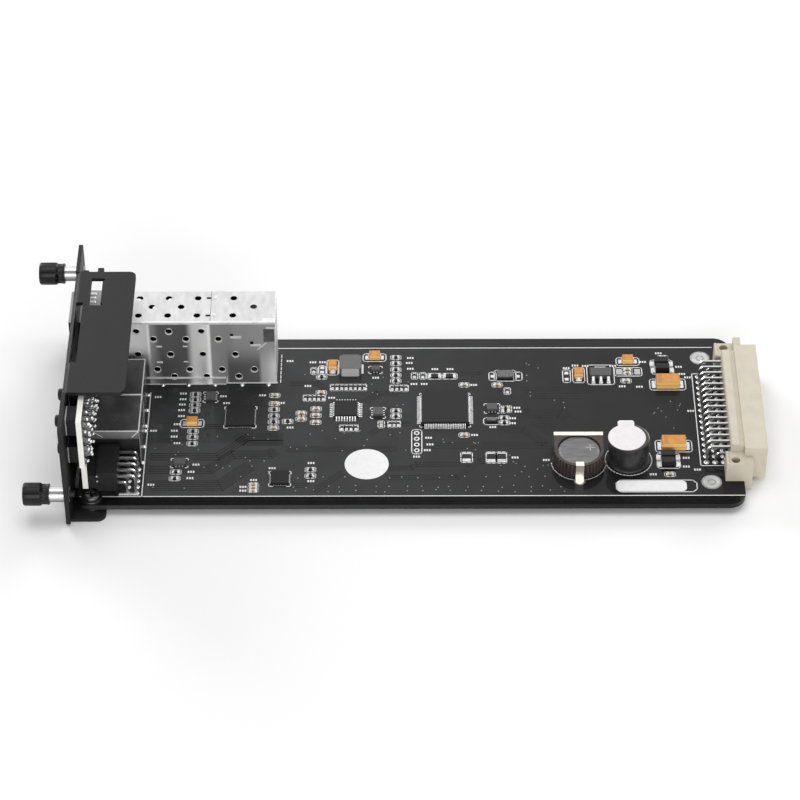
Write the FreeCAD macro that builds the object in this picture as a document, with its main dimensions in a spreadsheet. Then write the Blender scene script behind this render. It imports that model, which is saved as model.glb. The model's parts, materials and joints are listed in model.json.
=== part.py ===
"""A plug-in management card for a network chassis.

The card lies flat. Its bent front panel stands at -X with two captive screws, four keys, a display window,
two network jacks and a two-storey module cage. Its beige backplane connector is at +X. While modelling, X is
counted from the panel's front face, Y from the board's centreline and Z from the board's top face. The last
placement of every piece moves the origin to the middle of the card's footprint.
"""

import FreeCAD, Part
import math
import os
from types import SimpleNamespace

import Sketcher
from FreeCAD import Vector

SIZES = {
    # Main board
    "board_length": 195.0,
    "board_width": 74.0,
    "board_thick": 1.6,
    "board_corner": 5.0,
    "board_setback": 2.7,
    "front_zone": 65.0,
    # Front panel: one bent sheet
    "panel_width": 84.0,
    "panel_height": 37.6,
    "panel_drop": 3.4,
    "panel_corner": 1.2,
    "sheet": 1.2,
    "bend_radius": 0.6,
    "hood_depth": 18.1,
    "hood_near": 26.0,
    "hood_far": 28.4,
    "hood_corner": 2.0,
    "bend_slot_length": 27.0,
    "bend_slot_width": 2.0,
    "finger_slot_length": 12.5,
    "finger_slot_width": 3.3,
    "finger_slot_setback": 5.1,
    "finger_slot_near": 12.8,
    "relief_diameter": 1.2,
    "nib_width": 1.8,
    "nib_reach": 1.8,
    "nib_setback": 6.6,
    "tab_depth": 11.3,
    "tab_width": 13.0,
    "tab_margin": 6.4,
    "tab_corner": 2.5,
    "cutout_gap": 0.25,
    # Board fixing screws and clinch nuts
    "fixing_setback": 7.0,
    "fixing_inset": 3.2,
    "fixing_diameter": 2.5,
    "fixing_hole": 3.2,
    "fixing_head": 5.6,
    "fixing_head_height": 2.0,
    "nut_across": 5.5,
    "nut_bore": 2.6,
    # Captive screws
    "captive_inset": 4.0,
    "captive_near_height": 5.6,
    "captive_far_height": 25.6,
    "captive_travel": 3.6,
    "captive_reach": 1.6,
    "knob_diameter": 6.8,
    "knob_length": 7.7,
    "knob_standoff": 4.5,
    "knob_chamfer": 0.4,
    "knob_bore": 5.6,
    "skirt_diameter": 6.2,
    "skirt_length": 2.2,
    "lip_length": 0.6,
    "ferrule_diameter": 4.6,
    "ferrule_bore": 4.0,
    "ferrule_seat": 1.6,
    "collar_diameter": 5.2,
    "collar_length": 0.8,
    "thread_diameter": 3.0,
    "thread_length": 6.0,
    "point_diameter": 2.0,
    "point_length": 1.2,
    "point_taper": 0.6,
    "point_chamfer": 0.2,
    "shank_diameter": 2.3,
    "slip_diameter": 5.0,
    "slip_thick": 0.4,
    "spring_diameter": 3.7,
    "spring_wire": 0.3,
    "spring_turns": 3,
    "running_gap": 0.1,
    # Keys and their switches
    "key_near": 31.5,
    "key_far": 20.2,
    "key_upper": 28.3,
    "key_lower": 17.8,
    "key_diameter": 3.5,
    "key_proud": 1.8,
    "key_travel": 0.3,
    "key_gap": 0.3,
    "switch_side": 6.0,
    "switch_height": 3.2,
    "switch_gap": 0.2,
    "switch_cover": 0.3,
    "switch_floor": 1.0,
    # Keypad board, its header and the right-angle socket on the main board
    "keypad_thick": 1.6,
    "keypad_near": 36.0,
    "keypad_far": 15.2,
    "keypad_top": 31.8,
    "keypad_clear": 0.5,
    "tongue_near": 33.0,
    "tongue_far": 20.3,
    "tongue_foot": 3.0,
    "header_depth": 2.5,
    "header_height": 5.1,
    "socket_depth": 6.0,
    "socket_foot": 2.0,
    "socket_height": 7.2,
    "socket_columns": 5,
    "socket_run": 2.6,
    # Display
    "display_width": 26.7,
    "display_height": 18.6,
    "display_thick": 1.5,
    "display_centre": 0.7,
    "window_width": 23.4,
    "window_height": 12.2,
    # Network jacks
    "jack_width": 16.0,
    "jack_length": 21.3,
    "jack_height": 13.4,
    "jack_shell": 0.3,
    "jack_proud": 0.7,
    "jack_seam": 0.1,
    "jack_seam_at": -3.55,
    "port_width": 11.8,
    "port_height": 6.8,
    "port_depth": 14.0,
    "port_sill": 3.6,
    "latch_width": 6.2,
    "latch_drop": 1.7,
    "contact_pitch": 1.02,
    "contact_width": 0.45,
    "contact_thick": 0.3,
    "contact_run": 9.0,
    "contact_dip": 2.2,
    "contact_count": 8,
    "light_width": 2.9,
    "light_height": 1.9,
    "light_depth": 3.0,
    # Two-storey module cage
    "cage_width": 14.3,
    "cage_height": 24.5,
    "cage_length": 61.5,
    "cage_proud": 2.0,
    "cage_centre": 23.55,
    "cage_sheet": 0.3,
    "vent_diameter": 2.0,
    "bay_height": 9.7,
    "divider_length": 46.0,
    "divider_setback": 0.6,
    "receptacle_depth": 11.0,
    "slot_depth": 6.6,
    "slot_height": 2.2,
    "slot_width": 10.4,
    "collar_setback": 3.0,
    "collar_depth": 4.0,
    "slit_depth": 2.8,
    "slits_across": 5,
    "slits_up": 8,
    "collar_sheet": 0.3,
    # Backplane connector
    "pin_pitch": 2.54,
    "pin_columns": 16,
    "pin_side": 0.6,
    "pin_hole": 0.8,
    "test_pins": 4,
    "pin_tail": 1.2,
    "row_back": 10.5,
    "row_height": 1.1,
    "shroud_length": 46.4,
    "shroud_depth": 6.6,
    "shroud_height": 11.3,
    "shroud_drop": 2.0,
    "shroud_wall": 1.3,
    "shroud_floor": 1.4,
    "block_length": 42.6,
    "block_depth": 3.9,
    "block_height": 8.6,
    "flange_length": 54.4,
    "flange_depth": 5.5,
    "flange_height": 6.4,
    "flange_hole": 2.6,
    "flange_spacing": 50.0,
    "ear_depth": 2.3,
    "ear_drop": 3.2,
    # Coin cell, sounder and larger packages
    "cell_diameter": 12.5,
    "cell_thick": 2.0,
    "holder_wall": 0.9,
    "holder_height": 5.0,
    "holder_back": 6.9,
    "cell_sink": 0.5,
    "clip_width": 2.4,
    "clip_thick": 0.3,
    "clip_reach": 1.0,
    "clip_foot": 1.2,
    "strap_reach": 1.1,
    "sounder_diameter": 12.0,
    "sounder_gap": 1.453,
    "sounder_height": 9.0,
    "seal_diameter": 11.2,
    "seal_thick": 0.2,
    "seal_tab_width": 5.6,
    "seal_tab_reach": 2.2,
    "seal_tab_corner": 1.8,
    "processor_side": 14.0,
    "processor_span": 16.0,
    "processor_height": 1.5,
    "processor_pitch": 0.5,
    "processor_row": 25,
    "driver_side": 7.0,
    "driver_span": 9.0,
    "driver_height": 1.2,
    "driver_pitch": 0.8,
    "driver_row": 8,
    "lead_thick": 0.18,
    "lead_foot": 0.6,
    "package_standoff": 0.1,
    "tantalum_length": 7.3,
    "tantalum_width": 4.3,
    "tantalum_height": 2.8,
    "small_tantalum_length": 3.5,
    "small_tantalum_width": 2.8,
    "small_tantalum_height": 1.9,
    "terminal_thick": 0.15,
    "terminal_height": 1.2,
    "terminal_inset": 0.9,
    "coil_side": 6.7,
    "coil_height": 3.0,
    "coil_gap": 0.645,
    "coil_corner": 1.2,
    "regulator_length": 6.4,
    "regulator_width": 3.5,
    "regulator_height": 1.6,
    "regulator_pitch": 2.3,
    "regulator_leg": 0.75,
    "regulator_reach": 1.7,
    "regulator_tab": 3.0,
    "diode_length": 4.3,
    "diode_width": 2.6,
    "diode_height": 2.1,
    "package_height": 1.1,
    "crystal_height": 1.1,
    "leadless_height": 0.9,
    "chip_length": 1.7,
    "chip_width": 0.9,
    "chip_height": 0.5,
    # Bare stickers
    "label_thick": 0.1,
    "sticker_diameter": 13.0,
    "label_length": 20.4,
    "label_width": 4.4,
    "label_corner": 1.4,
}

doc = FreeCAD.newDocument("management_card")
sheet = doc.addObject("Spreadsheet::Sheet", "dims")
parts = []


class Size:
    """A length in mm together with the sheet formula that it comes from."""

    def __init__(self, value, formula):
        self.value = value
        self.formula = formula

    def join(self, sign, other, value):
        return Size(value, f"({self.formula} {sign} {formula_of(other)})")

    def __add__(self, other):
        return self.join("+", other, self.value + number(other))

    def __sub__(self, other):
        return self.join("-", other, self.value - number(other))

    def __mul__(self, other):
        return self.join("*", other, self.value * number(other))

    def __truediv__(self, other):
        return self.join("/", other, self.value / number(other))

    def __radd__(self, other):
        return self + other

    def __rmul__(self, other):
        return self * other

    def __rsub__(self, other):
        return -self + other

    def __neg__(self):
        return Size(-self.value, f"(0 - {self.formula})")


def number(size):
    return size.value if isinstance(size, Size) else float(size)


def formula_of(size):
    return size.formula if isinstance(size, Size) else repr(float(size))


def bind(thing, prop, size):
    """Ties a property to the sheet, or sets it when it is a plain number."""
    thing.setExpression(prop, formula_of(size))


def fill_sheet():
    """Writes the driving sizes to the sheet and returns them by name."""
    named = {}
    for row, (name, value) in enumerate(SIZES.items(), start=1):
        sheet.set(f"A{row}", name)
        sheet.set(f"B{row}", str(value))
        sheet.setAlias(f"B{row}", name)
        named[name] = Size(float(value), f"dims.{name}")
    doc.recompute()
    return SimpleNamespace(**named)


d = fill_sheet()

# Levels and stations that several pieces share
PANEL_TOP = d.panel_height - d.panel_drop
PANEL_HALF = d.panel_width / 2
BOARD_HALF = d.board_width / 2
BOARD_END = d.board_setback + d.board_length
MAIN_START = d.board_setback + d.front_zone
KNOB_FRONT = -(d.knob_standoff + d.knob_length)
CONNECTOR_FRONT = BOARD_END + d.shroud_depth
ORIGIN_X = (KNOB_FRONT + CONNECTOR_FRONT) / 2
KEYPAD_FACE = d.sheet + d.switch_gap + d.switch_height
KEYPAD_BACK = KEYPAD_FACE + d.keypad_thick
KEYPAD_FLOOR = d.jack_height + d.keypad_clear


def place(thing, x=0.0, y=0.0, z=0.0):
    """Puts a finished piece where its own origin belongs on the card."""
    bind(thing, "Placement.Base.x", x - ORIGIN_X)
    bind(thing, "Placement.Base.y", y)
    bind(thing, "Placement.Base.z", z + d.panel_drop)
    parts.append(thing)
    return thing


def body(name, x=0.0, y=0.0, z=0.0):
    new = doc.addObject("PartDesign::Body", name)
    new.Label = name
    return place(new, x, y, z)


PLANES = {"x": "YZ_Plane", "y": "XZ_Plane", "z": "XY_Plane"}


def origin_feature(owner, role):
    return next(feature for feature in owner.Origin.OriginFeatures if feature.Role == role)


def sketch_on(owner, axis, at):
    """An empty sketch square to an axis; on y its normal looks back along -Y."""
    sketch = owner.newObject("Sketcher::SketchObject", f"{owner.Name}_sketch")
    sketch.AttachmentSupport = [(origin_feature(owner, PLANES[axis]), "")]
    sketch.MapMode = "FlatFace"
    bind(sketch, "AttachmentOffset.Base.z", -at if axis == "y" else at)
    return sketch


def hold(sketch, kind, *where, size):
    """Adds one driven dimension to a sketch."""
    index = sketch.addConstraint(Sketcher.Constraint(kind, *where, number(size)))
    if isinstance(size, Size):
        bind(sketch, f"Constraints[{index}]", size)


def pin_point(sketch, curve, end, x, y):
    hold(sketch, "DistanceX", -1, 1, curve, end, size=x)
    hold(sketch, "DistanceY", -1, 1, curve, end, size=y)


def disc(x, y, diameter):
    def draw(sketch):
        centre = Vector(number(x), number(y), 0)
        curve = sketch.addGeometry(Part.Circle(centre, Vector(0, 0, 1), number(diameter) / 2), False)
        hold(sketch, "Diameter", curve, size=diameter)
        pin_point(sketch, curve, 3, x, y)

    return draw


def outline(*points):
    """A closed run of straight edges. A third value on a point makes the edge to it an arc of that radius."""

    def draw(sketch):
        flat = [Vector(number(p[0]), number(p[1]), 0) for p in points]
        curves = []
        for index, point in enumerate(points):
            start, end = flat[index - 1], flat[index]
            if len(point) == 3:
                curves.append(sketch.addGeometry(arc_between(start, end, number(point[2])), False))
            else:
                curves.append(sketch.addGeometry(Part.LineSegment(start, end), False))
        for index, point in enumerate(points):
            curve, after = curves[index], curves[(index + 1) % len(curves)]
            far_end = 2 if len(point) < 3 or number(point[2]) > 0 else 1
            later = points[(index + 1) % len(points)]
            near_end = 1 if len(later) < 3 or number(later[2]) > 0 else 2
            sketch.addConstraint(Sketcher.Constraint("Coincident", curve, far_end, after, near_end))
            pin_point(sketch, curve, far_end, point[0], point[1])
            if len(point) == 3:
                radius = point[2] if number(point[2]) > 0 else -point[2]
                hold(sketch, "Radius", curve, size=radius)

    return draw


def arc_between(start, end, radius):
    """The short arc between two points, turning left where the radius is positive and right where negative."""
    chord = end - start
    middle = (start + end) * 0.5
    rise = math.sqrt(max(radius**2 - (chord.Length / 2) ** 2, 0.0))
    left = Vector(-chord.y, chord.x, 0).normalize()
    centre = middle + left * math.copysign(rise, radius)
    first, last = (start, end) if radius > 0 else (end, start)
    angle = [math.atan2(p.y - centre.y, p.x - centre.x) for p in (first, last)]
    return Part.ArcOfCircle(Part.Circle(centre, Vector(0, 0, 1), abs(radius)), angle[0], angle[1])


def rectangle(x0, y0, x1, y1):
    return outline((x0, y0), (x1, y0), (x1, y1), (x0, y1))


def square(x, y, side):
    return rectangle(x - side / 2, y - side / 2, x + side / 2, y + side / 2)


def polygon(x, y, across, sides):
    """A regular polygon, measured across its flats."""
    reach = across / (2 * math.cos(math.pi / sides))
    turns = [2 * math.pi * (step + 0.5) / sides for step in range(sides)]
    return outline(*[(x + reach * math.cos(turn), y + reach * math.sin(turn)) for turn in turns])


def rounded(x0, y0, x1, y1, radius):
    """A rectangle whose corners are quarter circles."""
    return outline(
        (x1 - radius, y0),
        (x1, y0 + radius, radius),
        (x1, y1 - radius),
        (x1 - radius, y1, radius),
        (x0 + radius, y1),
        (x0, y1 - radius, radius),
        (x0, y0 + radius),
        (x0 + radius, y0, radius),
    )


def profiled(owner, kind, axis, low, high, shapes):
    """A Pad or a Pocket between two stations of an axis, from closed shapes drawn square to it."""
    sketch = sketch_on(owner, axis, high if axis == "y" else low)
    for shape in shapes:
        shape(sketch)
    feature = owner.newObject(f"PartDesign::{kind}", f"{owner.Name}_{kind.lower()}")
    feature.Profile = sketch
    feature.Reversed = kind == "Pocket"
    bind(feature, "Length", high - low)
    return feature


def pad(owner, axis, low, high, *shapes):
    return profiled(owner, "Pad", axis, low, high, shapes)


def pocket(owner, axis, low, high, *shapes):
    return profiled(owner, "Pocket", axis, low, high, shapes)


def turned(owner, *points):
    """A solid of revolution about X, from its half section as (x, radius) points."""
    sketch = sketch_on(owner, "y", 0.0)
    outline(*points)(sketch)
    feature = owner.newObject("PartDesign::Revolution", f"{owner.Name}_turned")
    feature.Profile = sketch
    feature.ReferenceAxis = (sketch, ["H_Axis"])
    feature.Angle = 360
    return feature


def row_of(owner, features, axis, step, count, axis_two=None, step_two=None, count_two=None):
    """Repeats features along one or two axes."""
    doc.recompute()
    pattern = owner.newObject("PartDesign::LinearPattern", f"{owner.Name}_row")
    pattern.Originals = features
    pattern.Direction = (origin_feature(owner, f"{axis.upper()}_Axis"), [""])
    bind(pattern, "Length", step * (count - 1))
    bind(pattern, "Occurrences", count)
    if axis_two:
        pattern.Direction2 = (origin_feature(owner, f"{axis_two.upper()}_Axis"), [""])
        bind(pattern, "Length2", step_two * (count_two - 1))
        bind(pattern, "Occurrences2", count_two)
    owner.Tip = pattern
    return pattern


def round_edges(owner, radius, wanted):
    """Rounds the edges whose middle point passes a test."""
    doc.recompute()
    base = owner.Tip
    names = []
    for index, edge in enumerate(base.Shape.Edges, start=1):
        if wanted(edge):
            names.append(f"Edge{index}")
    fillet = owner.newObject("PartDesign::Fillet", f"{owner.Name}_round")
    fillet.Base = (base, names)
    bind(fillet, "Radius", radius)
    owner.Tip = fillet
    return fillet


def block(x, y, length, width, low, high):
    """A box centred on a spot of the board, between two heights."""
    box = doc.addObject("Part::Box", "block")
    bind(box, "Length", length)
    bind(box, "Width", width)
    bind(box, "Height", high - low)
    bind(box, "Placement.Base.x", x - length / 2)
    bind(box, "Placement.Base.y", y - width / 2)
    bind(box, "Placement.Base.z", low)
    return box


def group(name, members):
    """Several separate solids under one name."""
    compound = doc.addObject("Part::Compound", name)
    compound.Label = name
    compound.Links = members
    return place(compound)


# Stations of the front end
JACK_FRONT = -d.jack_proud
JACK_REAR = JACK_FRONT + d.jack_length
CAGE_FRONT = -d.cage_proud
CAGE_REAR = CAGE_FRONT + d.cage_length
CAGE_NEAR = d.cage_centre - d.cage_width / 2
CAGE_FAR = d.cage_centre + d.cage_width / 2
JACK_NEAR_CENTRE = d.jack_seam_at - (d.jack_width + d.jack_seam) / 2
JACK_FAR_CENTRE = d.jack_seam_at + (d.jack_width + d.jack_seam) / 2
JACKS_NEAR = JACK_NEAR_CENTRE - d.jack_width / 2
JACKS_FAR = JACK_FAR_CENTRE + d.jack_width / 2
CAPTIVE_Y = PANEL_HALF - d.captive_inset
FIXING_Y = BOARD_HALF - d.fixing_inset
TAB_TOP = d.sheet - d.panel_drop
SOCKET_CENTRE = -(d.tongue_near + d.tongue_far) / 2
SOCKET_REAR = KEYPAD_BACK + d.header_depth + d.socket_depth
SOCKET_TOP = d.socket_foot + d.socket_height
SOCKET_ROWS = (SOCKET_REAR + d.socket_run, SOCKET_REAR + d.socket_run + d.pin_pitch)
SOCKET_FIRST = SOCKET_CENTRE - d.pin_pitch * (d.socket_columns - 1) / 2
BACKPLANE_ROWS = tuple(BOARD_END - d.row_back + d.pin_pitch * row for row in range(3))
BACKPLANE_FIRST = -(d.pin_pitch * (d.pin_columns - 1) / 2)

def make_front_panel():
    """Bent sheet: face, hood over the display, two tabs under the board, and every cut-out."""
    panel = body("front_panel")
    outer = d.bend_radius + d.sheet
    foot = -d.panel_drop
    corner = d.panel_corner
    pad(
        panel, "y", -d.hood_near, d.hood_far,
        outline(
            (0.0, foot), (d.sheet, foot), (d.sheet, PANEL_TOP - outer),
            (outer, PANEL_TOP - d.sheet, -d.bend_radius), (d.hood_depth, PANEL_TOP - d.sheet),
            (d.hood_depth, PANEL_TOP), (outer, PANEL_TOP), (0.0, PANEL_TOP - outer, outer),
        ),
    )
    pad(
        panel, "x", 0.0, d.sheet,
        outline(
            (-d.hood_near, foot), (-d.hood_near, PANEL_TOP), (corner - PANEL_HALF, PANEL_TOP),
            (-PANEL_HALF, PANEL_TOP - corner, corner), (-PANEL_HALF, foot + corner),
            (corner - PANEL_HALF, foot, corner),
        ),
        outline(
            (d.hood_far, PANEL_TOP), (d.hood_far, foot), (PANEL_HALF - corner, foot),
            (PANEL_HALF, foot + corner, corner), (PANEL_HALF, PANEL_TOP - corner),
            (PANEL_HALF - corner, PANEL_TOP, corner),
        ),
    )
    tab_outer = FIXING_Y + d.tab_margin
    tab_inner = tab_outer - d.tab_width
    round_in = d.tab_depth - d.tab_corner
    pad(
        panel, "z", foot, TAB_TOP,
        outline(
            (0.0, -tab_outer), (round_in, -tab_outer), (d.tab_depth, d.tab_corner - tab_outer, d.tab_corner),
            (d.tab_depth, -tab_inner - d.tab_corner), (round_in, -tab_inner, d.tab_corner), (0.0, -tab_inner),
        ),
        outline(
            (0.0, tab_inner), (round_in, tab_inner), (d.tab_depth, d.tab_corner + tab_inner, d.tab_corner),
            (d.tab_depth, tab_outer - d.tab_corner), (round_in, tab_outer, d.tab_corner), (0.0, tab_outer),
        ),
    )
    nib_root = d.hood_far - d.nib_reach
    nib_tip = d.hood_far + d.nib_reach
    pad(
        panel, "z", PANEL_TOP - d.sheet, PANEL_TOP,
        rectangle(d.nib_setback, nib_root, d.nib_setback + d.nib_width, nib_tip),
    )
    gap = d.cutout_gap
    window_low = KEYPAD_FLOOR + (d.display_height - d.window_height) / 2
    window_near = d.display_centre - d.window_width / 2
    cutouts = [
        rectangle(JACKS_NEAR - gap, -gap, JACKS_FAR + gap, d.jack_height + gap),
        rectangle(CAGE_NEAR - gap, -gap, CAGE_FAR + gap, d.cage_height + gap),
        rectangle(window_near, window_low, window_near + d.window_width, window_low + d.window_height),
        disc(-CAPTIVE_Y, d.captive_near_height, d.ferrule_diameter),
        disc(CAPTIVE_Y, d.captive_far_height, d.ferrule_diameter),
    ]
    for across in (d.key_near, d.key_far):
        for up in (d.key_upper, d.key_lower):
            cutouts.append(disc(-across, up, d.key_diameter + 2 * d.key_gap))
    pocket(panel, "x", 0.0, d.sheet, *cutouts)
    slot_rear = d.finger_slot_setback + d.finger_slot_width
    slot_near = d.finger_slot_near
    slot_far = slot_near + d.finger_slot_length
    bend_near = d.display_centre - d.bend_slot_length / 2
    pocket(
        panel, "z", PANEL_TOP - outer, PANEL_TOP,
        rectangle(d.sheet, bend_near, d.sheet + d.bend_slot_width, bend_near + d.bend_slot_length),
        rectangle(d.finger_slot_setback, slot_near, slot_rear, slot_far),
    )
    pocket(
        panel, "z", PANEL_TOP - d.sheet, PANEL_TOP,
        disc(slot_rear, slot_near + d.relief_diameter / 2, d.relief_diameter),
        disc(slot_rear, slot_far - d.relief_diameter / 2, d.relief_diameter),
    )
    pocket(
        panel, "z", foot, TAB_TOP,
        disc(d.fixing_setback, -FIXING_Y, d.fixing_hole), disc(d.fixing_setback, FIXING_Y, d.fixing_hole),
    )

    def hood_corner(edge):
        box = edge.BoundBox
        upright = box.XLength < 1e-6 and box.YLength < 1e-6
        return upright and abs(box.XMin - d.hood_depth.value) < 1e-3 and box.ZMin > 0

    round_edges(panel, d.hood_corner, hood_corner)


def make_main_board():
    """Laminate with plated holes for both connectors, the test footprint and the two fixing screws."""
    board = body("main_board")
    low = -d.board_thick
    pad(board, "z", low, 0.0, rounded(d.board_setback, -BOARD_HALF, BOARD_END, BOARD_HALF, d.board_corner))
    pocket(
        board, "z", low, 0.0,
        disc(d.fixing_setback, -FIXING_Y, d.fixing_hole), disc(d.fixing_setback, FIXING_Y, d.fixing_hole),
    )
    backplane = pocket(
        board, "z", low, 0.0, *[square(x, BACKPLANE_FIRST, d.pin_hole) for x in BACKPLANE_ROWS]
    )
    row_of(board, [backplane], "y", d.pin_pitch, d.pin_columns)
    socket = pocket(board, "z", low, 0.0, *[square(x, SOCKET_FIRST, d.pin_hole) for x in SOCKET_ROWS])
    row_of(board, [socket], "y", d.pin_pitch, d.socket_columns)
    test = pocket(board, "z", low, 0.0, square(*spot(*TEST_FOOTPRINT), d.pin_hole))
    row_of(board, [test], "y", d.pin_pitch, d.test_pins)


def make_board_fixings():
    """Pan-head screws through the board's front corners into clinch nuts on the panel's tabs."""
    nuts = body("clinch_nuts", d.fixing_setback, -FIXING_Y)
    ring = pad(nuts, "z", TAB_TOP, -d.board_thick, polygon(0.0, 0.0, d.nut_across, 6), polygon(0.0, 0.0, d.nut_bore, 8))
    row_of(nuts, [ring], "y", 2 * FIXING_Y, 2)
    screws = body("board_screws", d.fixing_setback, -FIXING_Y)
    tip = TAB_TOP - d.sheet + d.running_gap
    shank = pad(screws, "z", tip, 0.0, polygon(0.0, 0.0, d.fixing_diameter, 8))
    head = pad(screws, "z", 0.0, d.fixing_head_height, polygon(0.0, 0.0, d.fixing_head, 12))
    row_of(screws, [shank, head], "y", 2 * FIXING_Y, 2)


def make_captive_screw(side, y, z):
    """Knurled knob on a stud that slides and turns in a ferrule pressed into the panel, against a spring."""
    lip = -d.knob_standoff
    bore_start = lip - d.lip_length
    ferrule_front = bore_start - d.running_gap - d.collar_length
    bore_end = ferrule_front - d.running_gap - d.captive_travel - d.slip_thick - d.running_gap
    knob_r = d.knob_diameter / 2
    skirt_r = d.skirt_diameter / 2
    lip_r = d.ferrule_diameter / 2 + d.running_gap
    knob = body(f"{side}_knob", 0.0, y, z)
    skirt = lip - d.skirt_length
    turned(
        knob,
        (KNOB_FRONT, 0.0), (KNOB_FRONT, knob_r - d.knob_chamfer), (KNOB_FRONT + d.knob_chamfer, knob_r),
        (skirt, knob_r), (skirt, skirt_r), (lip, skirt_r), (lip, lip_r), (bore_start, lip_r),
        (bore_start, d.knob_bore / 2), (bore_end, d.knob_bore / 2), (bore_end, 0.0),
    )
    stud = body(f"{side}_stud", 0.0, y, z)
    tip = d.sheet + d.captive_reach
    thread_r = d.thread_diameter / 2
    shank_r = d.shank_diameter / 2
    thread_start = tip - d.thread_length
    point_r = d.point_diameter / 2
    point_end = tip - d.point_chamfer
    point_start = point_end - d.point_length
    turned(
        stud,
        (bore_end, 0.0), (bore_end, shank_r), (thread_start, shank_r),
        (thread_start, thread_r), (point_start - d.point_taper, thread_r), (point_start, point_r),
        (point_end, point_r), (tip, point_r - d.point_chamfer), (tip, 0.0),
    )
    ferrule = body(f"{side}_ferrule", 0.0, y, z)
    ferrule_r = d.ferrule_diameter / 2
    seat = d.sheet - d.ferrule_seat
    seat_r = thread_r + d.running_gap
    turned(
        ferrule,
        (ferrule_front, d.ferrule_bore / 2), (ferrule_front, d.collar_diameter / 2),
        (ferrule_front + d.collar_length, d.collar_diameter / 2), (ferrule_front + d.collar_length, ferrule_r),
        (d.sheet, ferrule_r), (d.sheet, seat_r), (seat, seat_r), (seat, d.ferrule_bore / 2),
    )
    slip = body(f"{side}_slip_washer", 0.0, y, z)
    slip_front = bore_end + d.running_gap
    slip_back = slip_front + d.slip_thick
    turned(
        slip,
        (slip_front, shank_r + d.running_gap), (slip_front, d.slip_diameter / 2), (slip_back, d.slip_diameter / 2),
        (slip_back, shank_r + d.running_gap),
    )
    make_spring(side, slip_back + d.running_gap, seat - d.running_gap, y, z)


def make_spring(side, start, end, y, z):
    """Open coil along X between two stations."""
    reach = end - start - d.spring_wire
    coil = doc.addObject("Part::Helix", f"{side}_coil")
    bind(coil, "Radius", (d.spring_diameter - d.spring_wire) / 2)
    bind(coil, "Pitch", reach / d.spring_turns)
    bind(coil, "Height", reach)
    wire = doc.addObject("Part::RegularPolygon", f"{side}_wire")
    wire.Polygon = 3
    bind(wire, "Circumradius", d.spring_wire / 2)
    bind(wire, "Placement.Base.x", (d.spring_diameter - d.spring_wire) / 2)
    wire.Placement.Rotation = FreeCAD.Rotation(Vector(1, 0, 0), 90)
    spring = doc.addObject("Part::Sweep", f"{side}_spring")
    spring.Label = f"{side}_spring"
    spring.Sections = [wire]
    spring.Spine = (coil, ["Edge1"])
    spring.Solid = True
    spring.Frenet = True
    spring.Placement.Rotation = FreeCAD.Rotation(Vector(0, 1, 0), 90)
    place(spring, start + d.spring_wire / 2, y, z)


def make_keys():
    """Four round stems in square press switches, soldered to the keypad board behind the panel."""
    cover_face = d.sheet + d.switch_gap
    half = d.switch_side / 2
    hole = d.key_diameter + 2 * d.key_gap
    across = d.key_near - d.key_far
    rise = d.key_upper - d.key_lower
    covers = body("switch_covers", 0.0, -d.key_near, d.key_lower)
    plate = pad(
        covers, "x", cover_face, cover_face + d.switch_cover,
        rectangle(-half, -half, half, half), polygon(0.0, 0.0, hole, 8),
    )
    row_of(covers, [plate], "y", across, 2, "z", rise, 2)
    housings = body("switch_housings", 0.0, -d.key_near, d.key_lower)
    well = KEYPAD_FACE - d.switch_floor
    shell = pad(
        housings, "x", cover_face + d.switch_cover, well,
        rectangle(-half, -half, half, half), polygon(0.0, 0.0, hole, 8),
    )
    floor = pad(housings, "x", well, KEYPAD_FACE, rectangle(-half, -half, half, half))
    row_of(housings, [shell, floor], "y", across, 2, "z", rise, 2)
    stem_end = well - d.key_travel - d.running_gap
    for name, y, z in (
        ("key_near_upper", d.key_near, d.key_upper),
        ("key_near_lower", d.key_near, d.key_lower),
        ("key_far_upper", d.key_far, d.key_upper),
        ("key_far_lower", d.key_far, d.key_lower),
    ):
        stem = body(name, 0.0, -y, z)
        pad(stem, "x", -d.key_proud, stem_end, disc(0.0, 0.0, d.key_diameter))


def make_keypad_board():
    """Upright board behind the panel: a wide part over the jacks and a tongue down to the main board."""
    board = body("keypad_board")
    pad(
        board, "x", KEYPAD_FACE, KEYPAD_BACK,
        outline(
            (-d.keypad_near, KEYPAD_FLOOR), (-d.tongue_near, KEYPAD_FLOOR), (-d.tongue_near, d.tongue_foot),
            (-d.tongue_far, d.tongue_foot), (-d.tongue_far, KEYPAD_FLOOR), (d.keypad_far, KEYPAD_FLOOR),
            (d.keypad_far, d.keypad_top), (-d.keypad_near, d.keypad_top),
        ),
    )
    display = body("display_glass")
    half = d.display_width / 2
    top = KEYPAD_FLOOR + d.display_height
    pad(
        display, "x", KEYPAD_FACE - d.display_thick, KEYPAD_FACE,
        rectangle(d.display_centre - half, KEYPAD_FLOOR, d.display_centre + half, top),
    )


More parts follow.
